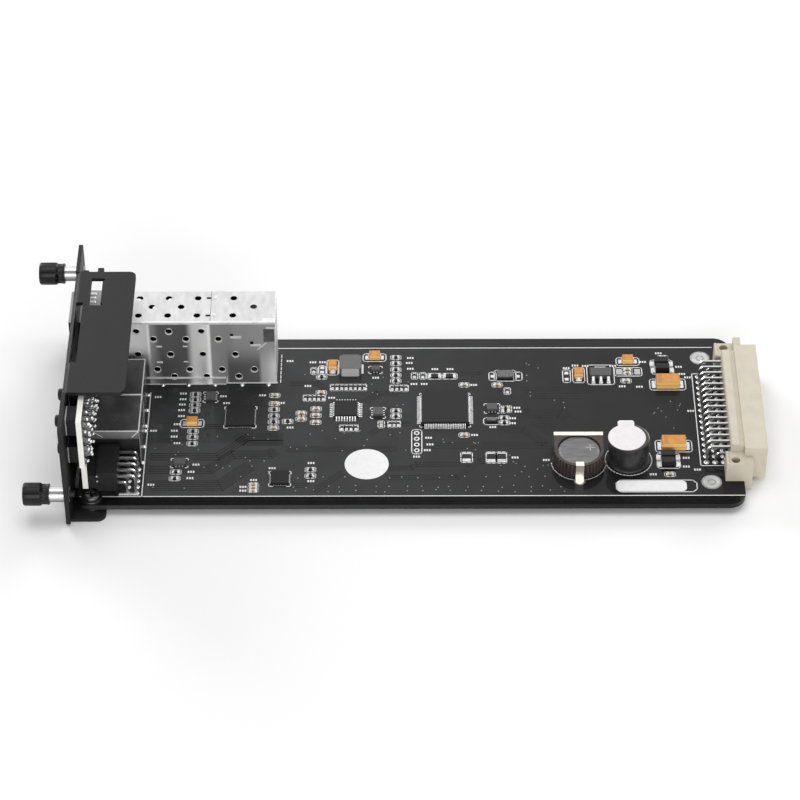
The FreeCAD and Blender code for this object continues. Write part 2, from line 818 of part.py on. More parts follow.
def make_keypad_connector():
    """Pin header on the tongue, right-angle socket behind it and the socket's bent pins."""
    near = SOCKET_CENTRE - (d.tongue_near - d.tongue_far) / 2
    far = SOCKET_CENTRE + (d.tongue_near - d.tongue_far) / 2
    middle = d.socket_foot + d.socket_height / 2
    header_rear = KEYPAD_BACK + d.header_depth
    header = body("keypad_header")
    pad(
        header, "x", KEYPAD_BACK, header_rear,
        rectangle(near, middle - d.header_height / 2, far, middle + d.header_height / 2),
    )
    socket = body("keypad_socket")
    step = d.pin_pitch / 4
    pad(
        socket, "y", near, far,
        outline(
            (header_rear, d.socket_foot), (SOCKET_REAR - step, d.socket_foot), (SOCKET_REAR - step, 0.0),
            (SOCKET_REAR, 0.0), (SOCKET_REAR, SOCKET_TOP), (header_rear, SOCKET_TOP),
        ),
    )
    pins = body("keypad_socket_pins", 0.0, SOCKET_FIRST)
    half = d.pin_side / 2
    tail = -(d.board_thick + d.pin_tail)
    bent = []
    for x, level in zip(SOCKET_ROWS, (middle - d.pin_pitch / 2, middle + d.pin_pitch / 2)):
        bent.append(pad(pins, "y", -half, half, bent_pin(SOCKET_REAR, x, level, tail, half)))
    row_of(pins, bent, "y", d.pin_pitch, d.socket_columns)


def bent_pin(start, x, level, tail, half):
    """Side view of a square pin that leaves a wall level and turns down through the board at x."""
    sign = 1 if number(x) > number(start) else -1
    return outline(
        (start, level - half), (x - sign * half, level - half), (x - sign * half, tail),
        (x + sign * half, tail), (x + sign * half, level + half), (start, level + half),
    )


def make_jacks():
    """Two shielded network jacks: folded shells, inserts with the plug opening, contacts and corner lights."""
    half = d.jack_width / 2
    inner = half - d.jack_shell
    rear = JACK_REAR - d.jack_shell
    roof = d.jack_height - d.jack_shell
    mouth = d.port_width / 2
    latch = d.latch_width / 2
    sill = d.port_sill
    ceiling = sill + d.port_height
    deep = JACK_FRONT + d.port_depth
    light_rear = JACK_FRONT + d.light_depth
    light_foot = roof - d.light_height
    corners = []
    wires = []
    lights = body("jack_lights")
    contacts = body("jack_contacts")
    for side, centre in (("near", JACK_NEAR_CENTRE), ("far", JACK_FAR_CENTRE)):
        shield = body(f"{side}_jack_shield", 0.0, centre)
        pad(shield, "x", JACK_FRONT, JACK_REAR, rectangle(-half, 0.0, half, d.jack_height))
        pocket(shield, "x", JACK_FRONT, rear, rectangle(-inner, 0.0, inner, roof))
        insert = body(f"{side}_jack_insert", 0.0, centre)
        pad(insert, "x", JACK_FRONT, rear, rectangle(-inner, 0.0, inner, roof))
        pocket(
            insert, "x", JACK_FRONT, deep,
            outline(
                (-mouth, sill), (-latch, sill), (-latch, sill - d.latch_drop), (latch, sill - d.latch_drop),
                (latch, sill), (mouth, sill), (mouth, ceiling), (-mouth, ceiling),
            ),
        )
        pocket(
            insert, "x", JACK_FRONT, light_rear,
            rectangle(-inner, light_foot, d.light_width - inner, roof),
            rectangle(inner - d.light_width, light_foot, inner, roof),
        )
        corners.append(rectangle(centre - inner, light_foot, centre - inner + d.light_width, roof))
        corners.append(rectangle(centre + inner - d.light_width, light_foot, centre + inner, roof))
        first = centre - d.contact_pitch * (d.contact_count - 1) / 2
        wires.append(
            pad(
                contacts, "y", first - d.contact_width / 2, first + d.contact_width / 2,
                outline(
                    (deep - d.contact_run, ceiling), (deep - d.contact_run, ceiling - d.contact_thick),
                    (deep, ceiling - d.contact_dip - d.contact_thick), (deep, ceiling - d.contact_dip),
                ),
            )
        )
    pad(lights, "x", JACK_FRONT, light_rear, *corners)
    row_of(contacts, wires, "y", d.contact_pitch, d.contact_count)


# Vent rows of the cage: station from the cage's rear, height or offset, and how many follow at the pitch
VENT_SIDES = 8
ROOF_VENT_PITCH = 8.75
ROOF_VENT_ROWS = ((40.8, -4.0, 3), (45.7, 0.0, 3), (40.8, 4.0, 3))
ROOF_VENT_SINGLES = ((12.6, -4.0), (6.5, 0.0), (12.6, 4.0))
SIDE_VENT_PITCH = 9.75
SIDE_VENT_ROWS = ((41.5, 21.0, 3), (36.5, 18.0, 3), (41.4, 12.0, 4), (35.9, 6.0, 4), (30.9, 3.2, 3))


def make_cage():
    """Two-storey cage: perforated cover, floor, hollow divider, spring collar and the receptacle at the rear."""
    sheet_in = d.cage_sheet
    cover = body("cage_cover")
    pad(cover, "x", CAGE_FRONT, CAGE_REAR, rectangle(CAGE_NEAR, 0.0, CAGE_FAR, d.cage_height))
    pocket(
        cover, "x", CAGE_FRONT, CAGE_REAR - sheet_in,
        rectangle(CAGE_NEAR + sheet_in, 0.0, CAGE_FAR - sheet_in, d.cage_height - sheet_in),
    )
    for back, offset, count in ROOF_VENT_ROWS:
        vent = pocket(
            cover, "z", d.cage_height - sheet_in, d.cage_height,
            polygon(CAGE_REAR - back, d.cage_centre + offset, d.vent_diameter, VENT_SIDES),
        )
        row_of(cover, [vent], "x", ROOF_VENT_PITCH, count)
    pocket(
        cover, "z", d.cage_height - sheet_in, d.cage_height,
        *[
            polygon(CAGE_REAR - back, d.cage_centre + offset, d.vent_diameter, VENT_SIDES)
            for back, offset in ROOF_VENT_SINGLES
        ],
    )
    for back, height, count in SIDE_VENT_ROWS:
        hole = polygon(CAGE_REAR - back, height, d.vent_diameter, VENT_SIDES)
        vent = pocket(cover, "y", CAGE_NEAR, CAGE_FAR, hole)
        row_of(cover, [vent], "x", SIDE_VENT_PITCH, count)
    inner_near = CAGE_NEAR + sheet_in
    inner_far = CAGE_FAR - sheet_in
    floor = body("cage_floor")
    pad(floor, "z", 0.0, sheet_in, rectangle(CAGE_FRONT, inner_near, CAGE_REAR - sheet_in, inner_far))
    divider = body("cage_divider")
    shelf_low = sheet_in + d.bay_height
    shelf_high = d.cage_height - sheet_in - d.bay_height
    shelf_front = CAGE_FRONT + d.divider_setback
    shelf_rear = CAGE_FRONT + d.divider_length
    pad(
        divider, "y", inner_near, inner_far,
        outline(
            (shelf_front, shelf_low), (shelf_rear, shelf_low), (shelf_rear, shelf_low + sheet_in),
            (shelf_front + sheet_in, shelf_low + sheet_in), (shelf_front + sheet_in, shelf_high - sheet_in),
            (shelf_rear, shelf_high - sheet_in), (shelf_rear, shelf_high), (shelf_front, shelf_high),
        ),
    )
    receptacle = body("cage_receptacle")
    back = CAGE_REAR - sheet_in
    face = back - d.receptacle_depth
    roof = d.cage_height - sheet_in
    pad(receptacle, "x", face, back, rectangle(inner_near, sheet_in, inner_far, roof))
    slot_near = d.cage_centre - d.slot_width / 2
    slots = []
    for level in (sheet_in + d.bay_height / 2, shelf_high + d.bay_height / 2):
        low = level - d.slot_height / 2
        slots.append(rectangle(slot_near, low, slot_near + d.slot_width, low + d.slot_height))
    pocket(receptacle, "x", face, face + d.slot_depth, *slots)
    collar = body("cage_collar")
    start = d.collar_setback
    out = d.collar_sheet
    pad(
        collar, "x", start, start + d.collar_depth,
        outline(
            (CAGE_NEAR - out, 0.0), (CAGE_NEAR, 0.0), (CAGE_NEAR, d.cage_height), (CAGE_FAR, d.cage_height),
            (CAGE_FAR, 0.0), (CAGE_FAR + out, 0.0), (CAGE_FAR + out, d.cage_height + out),
            (CAGE_NEAR - out, d.cage_height + out),
        ),
    )
    slit = d.collar_sheet
    pitch = d.cage_width / (d.slits_across + 1)
    cut = pocket(
        collar, "z", d.cage_height, d.cage_height + out,
        rectangle(start, CAGE_NEAR + pitch - slit / 2, start + d.slit_depth, CAGE_NEAR + pitch + slit / 2),
    )
    row_of(collar, [cut], "y", pitch, d.slits_across)
    rise = d.cage_height / (d.slits_up + 1)
    cut = pocket(
        collar, "y", CAGE_NEAR - out, CAGE_FAR + out,
        rectangle(start, rise - slit / 2, start + d.slit_depth, rise + slit / 2),
    )
    row_of(collar, [cut], "z", rise, d.slits_up)


def make_backplane_connector():
    """Half-length three-row connector: shrouded housing with two flanges, and 48 pins bent down to the board."""
    housing = body("backplane_housing")
    half = d.shroud_length / 2
    shroud_top = d.shroud_height - d.shroud_drop
    pad(
        housing, "x", BOARD_END, CONNECTOR_FRONT,
        rectangle(-half, -d.shroud_drop, half, shroud_top),
    )
    wall = d.shroud_wall
    pocket(
        housing, "x", BOARD_END + d.shroud_floor, CONNECTOR_FRONT,
        rectangle(wall - half, wall - d.shroud_drop, half - wall, shroud_top - wall),
    )
    block_half = d.block_length / 2
    pad(
        housing, "x", BOARD_END - d.block_depth, BOARD_END,
        rectangle(-block_half, 0.0, block_half, d.block_height),
    )
    flange_half = d.flange_length / 2
    pad(
        housing, "z", 0.0, d.flange_height,
        rectangle(BOARD_END - d.flange_depth, -flange_half, BOARD_END, -block_half),
        rectangle(BOARD_END - d.flange_depth, block_half, BOARD_END, flange_half),
    )
    pad(
        housing, "x", BOARD_END, BOARD_END + d.ear_depth,
        rectangle(-flange_half, -d.ear_drop, -half, d.flange_height),
        rectangle(half, -d.ear_drop, flange_half, d.flange_height),
    )
    hole_x = BOARD_END - d.flange_depth / 2
    pocket(
        housing, "z", 0.0, d.flange_height,
        disc(hole_x, -d.flange_spacing / 2, d.flange_hole), disc(hole_x, d.flange_spacing / 2, d.flange_hole),
    )
    levels = [d.row_height + d.pin_pitch * row for row in (2, 1, 0)]
    side = d.pin_side / 2
    holes = pocket(
        housing, "x", BOARD_END - d.block_depth, BOARD_END + d.shroud_floor,
        *[rectangle(BACKPLANE_FIRST - side, z - side, BACKPLANE_FIRST + side, z + side) for z in levels],
    )
    row_of(housing, [holes], "y", d.pin_pitch, d.pin_columns)
    pins = body("backplane_pins", 0.0, BACKPLANE_FIRST)
    point = CONNECTOR_FRONT - d.shroud_wall
    tail = -(d.board_thick + d.pin_tail)
    bent = []
    for x, level in zip(BACKPLANE_ROWS, levels):
        bent.append(pad(pins, "y", -side, side, bent_pin(point, x, level, tail, side)))
    row_of(pins, bent, "y", d.pin_pitch, d.pin_columns)


# Places on the board, in hundredths. Along X, front parts are a share of the front zone and all others a share
# of the run from there to the connector end. Across, a share of the half width, positive towards the cage.
# A third value tells whether a part lies across the board.
CELL_AND_SOUNDER = 68.575
CELL_ACROSS = -50.27
SOUNDER_ACROSS = -48.11
PROCESSOR = (32.77, 11.35)
DRIVER = (9.92, 11.35)
COIL = (10.77, 62.16)
REGULATOR = (69.23, 54.05)
STICKER = (14.85, -52.97)
TEST_FOOTPRINT = (26.23, -36.76)
LABEL = (79.08, -78.92)
LARGE_TANTALUMS = (
    (84.69, 42.16),
    (84.77, -32.43),
)
SUPPLY_TANTALUMS = (
    (75.77, 70.81, False),
    (64.08, 54.05, True),
)
COIL_TANTALUM_ACROSS = 64.32
LOGIC_TANTALUM = (16.38, 76.49, False)
FRONT_TANTALUM = (49.23, -4.05, False)
DIODES = (
    (83.62, 67.84),
    (83.77, 59.73),
    (83.31, -45.68),
    (83.31, -53.78),
)

# Flat parts: place, then length along X and width along Y in mm
FRONT_LEADLESS = (
    (71.23, 3.24, 8.6, 8.6),
    (90.62, -69.73, 5.4, 5.4),
)
FRONT_PACKAGES = (
    (44.77, -51.08, 3.6, 2.6),
    (56.92, 27.84, 2.9, 3.2),
)
PACKAGES = (
    (43.62, 13.24, 3.2, 2.8),
    (17.31, 8.11, 3.0, 3.4),
    (16.62, 61.08, 2.6, 1.9),
)
CRYSTALS = (
    (46.92, 53.51, 5.0, 3.4),
    (43.46, -2.16, 3.2, 1.5),
)
ARRAYS = (
    (30.46, 52.97, 3.2, 1.6),
    (33.92, 52.97, 3.2, 1.6),
    (37.54, -45.14, 2.4, 3.0),
    (43.15, -45.41, 2.4, 3.4),
    (45.46, -45.41, 2.4, 3.4),
)

# Small chip parts, split by the way that they lie
FRONT_RESISTORS = (
    (49.85, 31.35), (49.85, 24.86), (49.85, 18.11), (49.85, 11.35), (49.85, -13.51), (49.85, -20.54),
    (49.85, -28.11), (86.62, 12.43), (86.62, 4.59), (86.62, -2.43), (43.38, -61.62), (43.08, -69.19),
    (93.08, -1.89),
)
FRONT_CAPACITORS = (
    (86.62, 29.73), (86.62, 19.73), (86.62, -9.73), (78.77, -76.22), (78.77, -79.73), (78.77, -83.24),
)
RESISTORS_ALONG = (
    (21.38, 76.49), (21.38, 68.92), (21.38, 61.35), (21.38, 54.32), (21.38, 47.3), (4.08, 52.43),
    (2.15, -59.19), (2.15, -66.49), (21.46, 10.54), (21.46, 4.05), (46.38, 1.62), (46.38, -4.05),
)
RESISTORS_ACROSS = (
    (6.69, 39.46), (7.75, 39.46), (8.8, 39.46), (9.85, 39.46), (10.91, 39.46), (11.96, 39.46),
    (13.02, 39.46), (14.07, 39.46), (0.46, 26.49), (1.48, 26.49), (2.51, 26.49), (3.53, 26.49),
    (4.55, 26.49), (9.08, -10.0), (10.13, -10.0), (11.18, -10.0), (12.24, -10.0), (20.54, 38.38),
    (21.62, 38.38), (22.69, 38.38), (23.77, 38.38), (20.08, -5.41), (21.04, -5.41), (22.0, -5.41),
    (2.23, 60.0), (25.77, 53.51), (27.69, 53.51), (47.31, 34.59),
)
CAPACITORS_ALONG = (
    (4.08, 32.97), (3.0, 13.24), (3.0, 5.41), (3.0, -2.97), (-0.38, 8.11), (-0.38, 1.08), (37.31, 42.16),
    (37.08, -18.65), (45.0, 42.16), (75.54, 60.54), (75.54, 56.49), (75.08, 46.76), (83.38, -65.41),
    (84.08, 75.68),
)
CAPACITORS_ACROSS = (
    (18.08, -5.68), (46.08, 11.89), (47.46, 12.43),
)


def front_spot(along, across):
    """A place beside the jacks and the cage."""
    return d.board_setback + d.front_zone * (along / 100), BOARD_HALF * (across / 100)


def spot(along, across):
    """A place between the front zone and the connector."""
    return MAIN_START + (BOARD_END - MAIN_START) * (along / 100), BOARD_HALF * (across / 100)


def make_coin_cell():
    """Holder with a round front and a flat back, the cell in it, a front clip and a strap over its back."""
    cell_r = d.cell_diameter / 2
    radius = cell_r + d.running_gap + d.holder_wall
    middle, y = spot(CELL_AND_SOUNDER, CELL_ACROSS)
    x = middle - (radius + d.sounder_gap + d.sounder_diameter / 2) / 2
    top = d.holder_height
    seat = top - d.cell_sink - d.cell_thick
    rest = seat + d.cell_thick
    holder = body("cell_holder", x, y)
    pad(
        holder, "z", 0.0, top,
        outline(
            (0.0, -radius, radius), (radius, 0.0, radius), (radius, d.holder_back), (-radius, d.holder_back),
            (-radius, 0.0),
        ),
    )
    pocket(holder, "z", seat, top, disc(0.0, 0.0, d.cell_diameter + 2 * d.running_gap))
    cell = body("coin_cell", x, y)
    pad(cell, "z", seat, rest, disc(0.0, 0.0, d.cell_diameter))
    clips = body("cell_clips", x, y)
    thick = d.clip_thick
    inner = cell_r - d.clip_reach
    pad(
        clips, "x", -d.clip_width / 2, d.clip_width / 2,
        outline(
            (-inner, rest), (-cell_r, rest), (-cell_r, top), (-radius, top), (-radius, 0.0),
            (-radius - d.clip_foot, 0.0), (-radius - d.clip_foot, thick), (-radius - thick, thick),
            (-radius - thick, top + thick), (thick - cell_r, top + thick), (thick - cell_r, rest + thick),
            (-inner, rest + thick),
        ),
    )
    back = d.holder_back
    pad(
        clips, "x", -radius, radius,
        outline(
            (back, 0.0), (back + thick, 0.0), (back + thick, top + thick), (back - d.strap_reach, top + thick),
            (back - d.strap_reach, top), (back, top),
        ),
    )


def make_sounder():
    """Round sounder can and the peel-off seal over its sound hole."""
    holder_r = d.cell_diameter / 2 + d.running_gap + d.holder_wall
    middle, y = spot(CELL_AND_SOUNDER, SOUNDER_ACROSS)
    x = middle + (holder_r + d.sounder_gap + d.sounder_diameter / 2) / 2
    can = body("sounder_can", x, y)
    pad(can, "z", 0.0, d.sounder_height, disc(0.0, 0.0, d.sounder_diameter))
    seal = body("sounder_seal", x, y)
    half = d.seal_tab_width / 2
    tip = d.seal_diameter / 2 + d.seal_tab_reach
    top = d.sounder_height
    pad(seal, "z", top, top + d.seal_thick, disc(0.0, 0.0, d.seal_diameter))
    pad(seal, "z", top, top + d.seal_thick, rounded(-half, 0.0, half, tip, d.seal_tab_corner))


def make_leaded_chip(name, spot, side, span, height, pitch, count):
    """Square package with a row of bent leads along each of its four sides."""
    half = side / 2
    package = body(f"{name}_body", *spot)
    pad(package, "z", d.package_standoff, height, rectangle(-half, -half, half, half))
    leads = body(f"{name}_leads", *spot)
    reach = span / 2
    knee = height / 2
    first = -(pitch * (count - 1) / 2)
    low = first - pitch / 4
    high = first + pitch / 4
    rows = {"y": [], "x": []}
    for axis in ("y", "x"):
        for sign in (1, -1):
            bent = outline(
                (sign * half, knee), (sign * (reach - d.lead_foot), 0.0), (sign * reach, 0.0),
                (sign * half, knee + d.lead_thick),
            )
            rows[axis].append(pad(leads, axis, low, high, bent))
    for axis in ("y", "x"):
        row_of(leads, rows[axis], axis, pitch, count)


def make_tantalums():
    """Moulded capacitors with a metal terminal at each end."""
    large = [(spot(along, across), False, True) for along, across in LARGE_TANTALUMS]
    coil_x, beside_y = spot(COIL[0], COIL_TANTALUM_ACROSS)
    beside_x = coil_x - d.coil_side / 2 - d.coil_gap - d.small_tantalum_width / 2
    small = [(spot(along, across), turned_across, False) for along, across, turned_across in SUPPLY_TANTALUMS]
    small.append(((beside_x, beside_y), True, False))
    small.append((spot(*LOGIC_TANTALUM[:2]), LOGIC_TANTALUM[2], False))
    front = [(front_spot(*FRONT_TANTALUM[:2]), FRONT_TANTALUM[2], False)]
    bodies = []
    terminals = []
    for (x, y), across, big in large + small + front:
        length = d.tantalum_length if big else d.small_tantalum_length
        width = d.tantalum_width if big else d.small_tantalum_width
        height = d.tantalum_height if big else d.small_tantalum_height
        thick = d.terminal_thick
        wide = width - 2 * d.terminal_inset
        out = (length + thick) / 2
        if across:
            bodies.append(block(x, y, width, length, 0.0, height))
            terminals.append(block(x, y - out, wide, thick, 0.0, d.terminal_height))
            terminals.append(block(x, y + out, wide, thick, 0.0, d.terminal_height))
        else:
            bodies.append(block(x, y, length, width, 0.0, height))
            terminals.append(block(x - out, y, thick, wide, 0.0, d.terminal_height))
            terminals.append(block(x + out, y, thick, wide, 0.0, d.terminal_height))
    group("tantalum_bodies", bodies)
    group("tantalum_terminals", terminals)


def make_supply_parts():
    """Power coil, three-legged regulator and rectifier diodes."""
    coil = body("power_coil", *spot(*COIL))
    half = d.coil_side / 2
    pad(coil, "z", 0.0, d.coil_height, rounded(-half, -half, half, half, d.coil_corner))
    x, y = spot(*REGULATOR)
    front = -(d.regulator_width / 2)
    back = d.regulator_width / 2
    case = body("regulator_body", x, y)
    pad(
        case, "z", d.package_standoff, d.regulator_height,
        rectangle(-(d.regulator_length / 2), front, d.regulator_length / 2, back),
    )
    leads = body("regulator_leads", x, y)
    knee = d.regulator_height / 2
    thick = d.lead_thick
    tip = front - d.regulator_reach
    ankle = tip + d.lead_foot
    leg = pad(
        leads, "x", -d.regulator_pitch - d.regulator_leg / 2, d.regulator_leg / 2 - d.regulator_pitch,
        outline(
            (front, knee), (ankle, 0.0), (tip, 0.0), (tip, thick), (ankle - thick, thick),
            (front, knee + thick),
        ),
    )
    row_of(leads, [leg], "x", d.regulator_pitch, 3)
    heel = back + d.regulator_reach
    pad(
        leads, "x", -(d.regulator_tab / 2), d.regulator_tab / 2,
        outline(
            (back, knee), (heel - d.lead_foot, 0.0), (heel, 0.0), (heel, thick),
            (heel - d.lead_foot + thick, thick), (back, knee + thick),
        ),
    )
    diodes = []
    for place_of in DIODES:
        diodes.append(block(*spot(*place_of), d.diode_length, d.diode_width, 0.0, d.diode_height))
    group("diode_bodies", diodes)


def make_flat_packages():
    """Leadless chips, small moulded packages and crystals."""
    for name, height, groups in (
        ("leadless_chips", d.leadless_height, ((front_spot, FRONT_LEADLESS),)),
        ("small_packages", d.package_height, ((front_spot, FRONT_PACKAGES), (spot, PACKAGES))),
        ("crystals", d.crystal_height, ((spot, CRYSTALS),)),
    ):
        members = []
        for where, places in groups:
            for along, across, length, width in places:
                members.append(block(*where(along, across), length, width, 0.0, height))
        group(name, members)


def make_chip_parts():
    """Chip resistors, resistor arrays and chip capacitors."""
    long = d.chip_length
    wide = d.chip_width
    tall = d.chip_height
    resistors = [block(*front_spot(*at), long, wide, 0.0, tall) for at in FRONT_RESISTORS]
    resistors += [block(*spot(*at), long, wide, 0.0, tall) for at in RESISTORS_ALONG]
    resistors += [block(*spot(*at), wide, long, 0.0, tall) for at in RESISTORS_ACROSS]
    resistors += [block(*spot(*at[:2]), at[2], at[3], 0.0, tall) for at in ARRAYS]
    group("chip_resistors", resistors)
    capacitors = [block(*front_spot(*at), long, wide, 0.0, tall) for at in FRONT_CAPACITORS]
    capacitors += [block(*spot(*at), long, wide, 0.0, tall) for at in CAPACITORS_ALONG]
    capacitors += [block(*spot(*at), wide, long, 0.0, tall) for at in CAPACITORS_ACROSS]
    group("chip_capacitors", capacitors)


def make_labels():
    """One round and one long bare sticker on the board."""
    labels = body("board_labels")
    half = d.label_length / 2
    middle, across = spot(*LABEL)
    near = across - d.label_width / 2
    far = across + d.label_width / 2
    pad(
        labels, "z", 0.0, d.label_thick,
        disc(*spot(*STICKER), d.sticker_diameter),
        rounded(middle - half, near, middle + half, far, d.label_corner),
    )


def check_and_export():
    """Stops on any failed feature, empty pocket or invalid piece, then writes one file for each piece."""
    doc.recompute()
    for thing in doc.Objects:
        if "Invalid" in thing.State or "Error" in thing.State:
            raise RuntimeError(f"{thing.Name} ({thing.Label}) failed: {thing.State}")
        if thing.TypeId == "PartDesign::Pocket":
            removed = thing.BaseFeature.Shape.Volume - thing.Shape.Volume
            if removed < 1e-4:
                raise RuntimeError(f"{thing.Name} removes nothing")
    os.makedirs("parts", exist_ok=True)
    for piece in parts:
        shape = piece.Shape
        if shape.isNull() or not shape.isValid() or not shape.Solids:
            raise RuntimeError(f"{piece.Label} has no valid solid")
        shape.exportStep(f"parts/{piece.Label}.step")
        box = shape.BoundBox
        print(
            f"{piece.Label:22s} solids {len(shape.Solids):3d}  volume {shape.Volume:9.2f}"
            f"  x {box.XMin:7.2f} {box.XMax:7.2f}  y {box.YMin:7.2f} {box.YMax:7.2f}"
            f"  z {box.ZMin:6.2f} {box.ZMax:6.2f}"
        )


make_front_panel()
make_main_board()
make_board_fixings()
make_captive_screw("near", -CAPTIVE_Y, d.captive_near_height)
make_captive_screw("far", CAPTIVE_Y, d.captive_far_height)
make_keys()
make_keypad_board()
make_keypad_connector()
make_jacks()
make_cage()
make_backplane_connector()
make_coin_cell()
make_sounder()
make_leaded_chip(
    "processor", spot(*PROCESSOR), d.processor_side, d.processor_span, d.processor_height, d.processor_pitch,
    d.processor_row,
)
make_leaded_chip(
    "driver", spot(*DRIVER), d.driver_side, d.driver_span, d.driver_height, d.driver_pitch, d.driver_row
)
make_tantalums()
make_supply_parts()
make_flat_packages()
make_chip_parts()
make_labels()
check_and_export()
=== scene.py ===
# %% [markdown]
# # A plug-in management card
# The object is a long circuit card that slides into a network chassis. A bent black panel closes its front,
# two network jacks and a perforated module cage stand behind the panel, and a beige connector ends the
# board. The solid model arrives first as a fixed frame. This lesson dresses it: finer shapes, print, solder
# and finishes.

# %% the frame and the card's own measures
import itertools
import json
import math

import bpy
import numpy as np
from mathutils import Matrix, Vector


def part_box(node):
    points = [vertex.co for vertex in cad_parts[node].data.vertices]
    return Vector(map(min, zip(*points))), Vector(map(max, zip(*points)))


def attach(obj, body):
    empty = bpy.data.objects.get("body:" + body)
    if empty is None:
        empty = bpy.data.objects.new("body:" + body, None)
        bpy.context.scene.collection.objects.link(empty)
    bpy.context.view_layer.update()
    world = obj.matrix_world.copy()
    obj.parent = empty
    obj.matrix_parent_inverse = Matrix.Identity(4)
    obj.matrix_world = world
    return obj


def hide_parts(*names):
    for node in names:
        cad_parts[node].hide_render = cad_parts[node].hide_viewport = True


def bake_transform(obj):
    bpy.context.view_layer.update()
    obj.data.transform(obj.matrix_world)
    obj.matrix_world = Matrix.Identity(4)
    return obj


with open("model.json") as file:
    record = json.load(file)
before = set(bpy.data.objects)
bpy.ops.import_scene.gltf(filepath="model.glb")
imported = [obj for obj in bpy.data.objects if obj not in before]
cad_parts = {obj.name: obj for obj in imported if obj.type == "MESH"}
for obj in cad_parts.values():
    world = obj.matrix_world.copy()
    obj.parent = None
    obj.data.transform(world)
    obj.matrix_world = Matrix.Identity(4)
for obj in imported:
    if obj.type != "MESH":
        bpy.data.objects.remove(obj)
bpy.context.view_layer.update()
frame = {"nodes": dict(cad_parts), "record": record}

PANEL_TO_BOARD = 0.0027
scene = bpy.context.scene
board_low, board_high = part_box("main_board")
ORIGIN = np.array([board_low.x - PANEL_TO_BOARD, 0.0, board_high.z])
print("card origin in metres", ORIGIN.round(5).tolist())


# %% [markdown]
# ## Finishes
# Nothing on a real card has one even colour. Solder mask is mottled, sheet steel shows the direction it was
# rolled in, and moulded plastic has a fine skin. One shared group makes that unevenness from two noises,
# and every finish mixes a darker and a lighter tone with it. Stretching the noise along one axis turns
# mottle into rolling marks. Pictures could do the same, but noises need no files and stay sharp from close
# by.

# %% nodes in one call each
PER_METRE = 1000.0
MIX_SOCKETS = {"RGBA": (6, 7, 2), "FLOAT": (2, 3, 0)}


def fill(node, inputs):
    """Fills inputs of a node: a socket is linked, and a plain value is set on the input itself."""
    for key, value in inputs.items():
        if isinstance(value, bpy.types.NodeSocket):
            node.id_data.links.new(value, node.inputs[key])
        else:
            node.inputs[key].default_value = value
    return node


def add(tree, kind, inputs=None, **settings):
    """Adds a node, sets its properties, and then fills its inputs."""
    made = tree.nodes.new(kind)
    for name, value in settings.items():
        setattr(made, name, value)
    return fill(made, inputs or {})


def computed(tree, kind, operation, *values):
    """What a Math or Vector Math node makes of its values."""
    return add(tree, f"ShaderNode{kind}", dict(enumerate(values)), operation=operation).outputs[0]


def ranged(tree, value, limits):
    """A value moved from one range to another, which is 0 to 1 where no limit is given."""
    return add(tree, "ShaderNodeMapRange", {"Value": value, **limits}).outputs["Result"]


def mixed(tree, kind, mask, before, after, **settings):
    """A Mix node's output, which goes from before to after as the mask goes from 0 to 1."""
    a, b, out = MIX_SOCKETS[kind]
    return add(tree, "ShaderNodeMix", {0: mask, a: before, b: after}, data_type=kind, **settings).outputs[out]


def object_place(tree):
    """Where a point of the piece lies, in metres."""
    return add(tree, "ShaderNodeTexCoord").outputs["Object"]


def split(tree, vector):
    """The three coordinates of a vector."""
    return add(tree, "ShaderNodeSeparateXYZ", {0: vector}).outputs


# %% the shared grain
def grain_group():
    """Two noises in object space: a broad one for tone and roughness, and one six times finer for bump."""
    tree = bpy.data.node_groups.new("grain", "ShaderNodeTree")
    for name, way, kind, start in (
        ("Size", "INPUT", "Float", 300.0), ("Stretch", "INPUT", "Vector", (1.0, 1.0, 1.0)),
        ("Broad", "OUTPUT", "Float", 0.0), ("Fine", "OUTPUT", "Float", 0.0),
    ):
        socket = tree.interface.new_socket(name, in_out=way, socket_type=f"NodeSocket{kind}")
        socket.default_value = start
    given = add(tree, "NodeGroupInput").outputs
    place = computed(tree, "VectorMath", "MULTIPLY", object_place(tree), given["Stretch"])
    finer = computed(tree, "Math", "MULTIPLY", given["Size"], 6.0)
    broad, fine = (
        add(tree, "ShaderNodeTexNoise", {"Vector": place, "Scale": size, "Detail": detail}).outputs["Fac"]
        for size, detail in ((given["Size"], 4.0), (finer, 2.0))
    )
    broad = ranged(tree, broad, {"From Min": 0.32, "From Max": 0.68})
    add(tree, "NodeGroupOutput", {"Broad": broad, "Fine": fine})
    return tree


GRAIN = grain_group()
print(len(GRAIN.nodes), "nodes in the shared grain")


# %% [markdown]
# A finish is one Principled shader fed by that grain: the broad noise picks between the two tones and sways the
# roughness, and the fine noise lifts the skin. What is the same all over a surface, such as its metal share, is
# set on the shader itself.

# %% a finish from two tones
SKIN_HEIGHT = 0.00004


def colour(tone):
    """A tone as red, green, blue and alpha. A single number is a grey."""
    return (*(tone if isinstance(tone, tuple) else (tone,) * 3), 1.0)


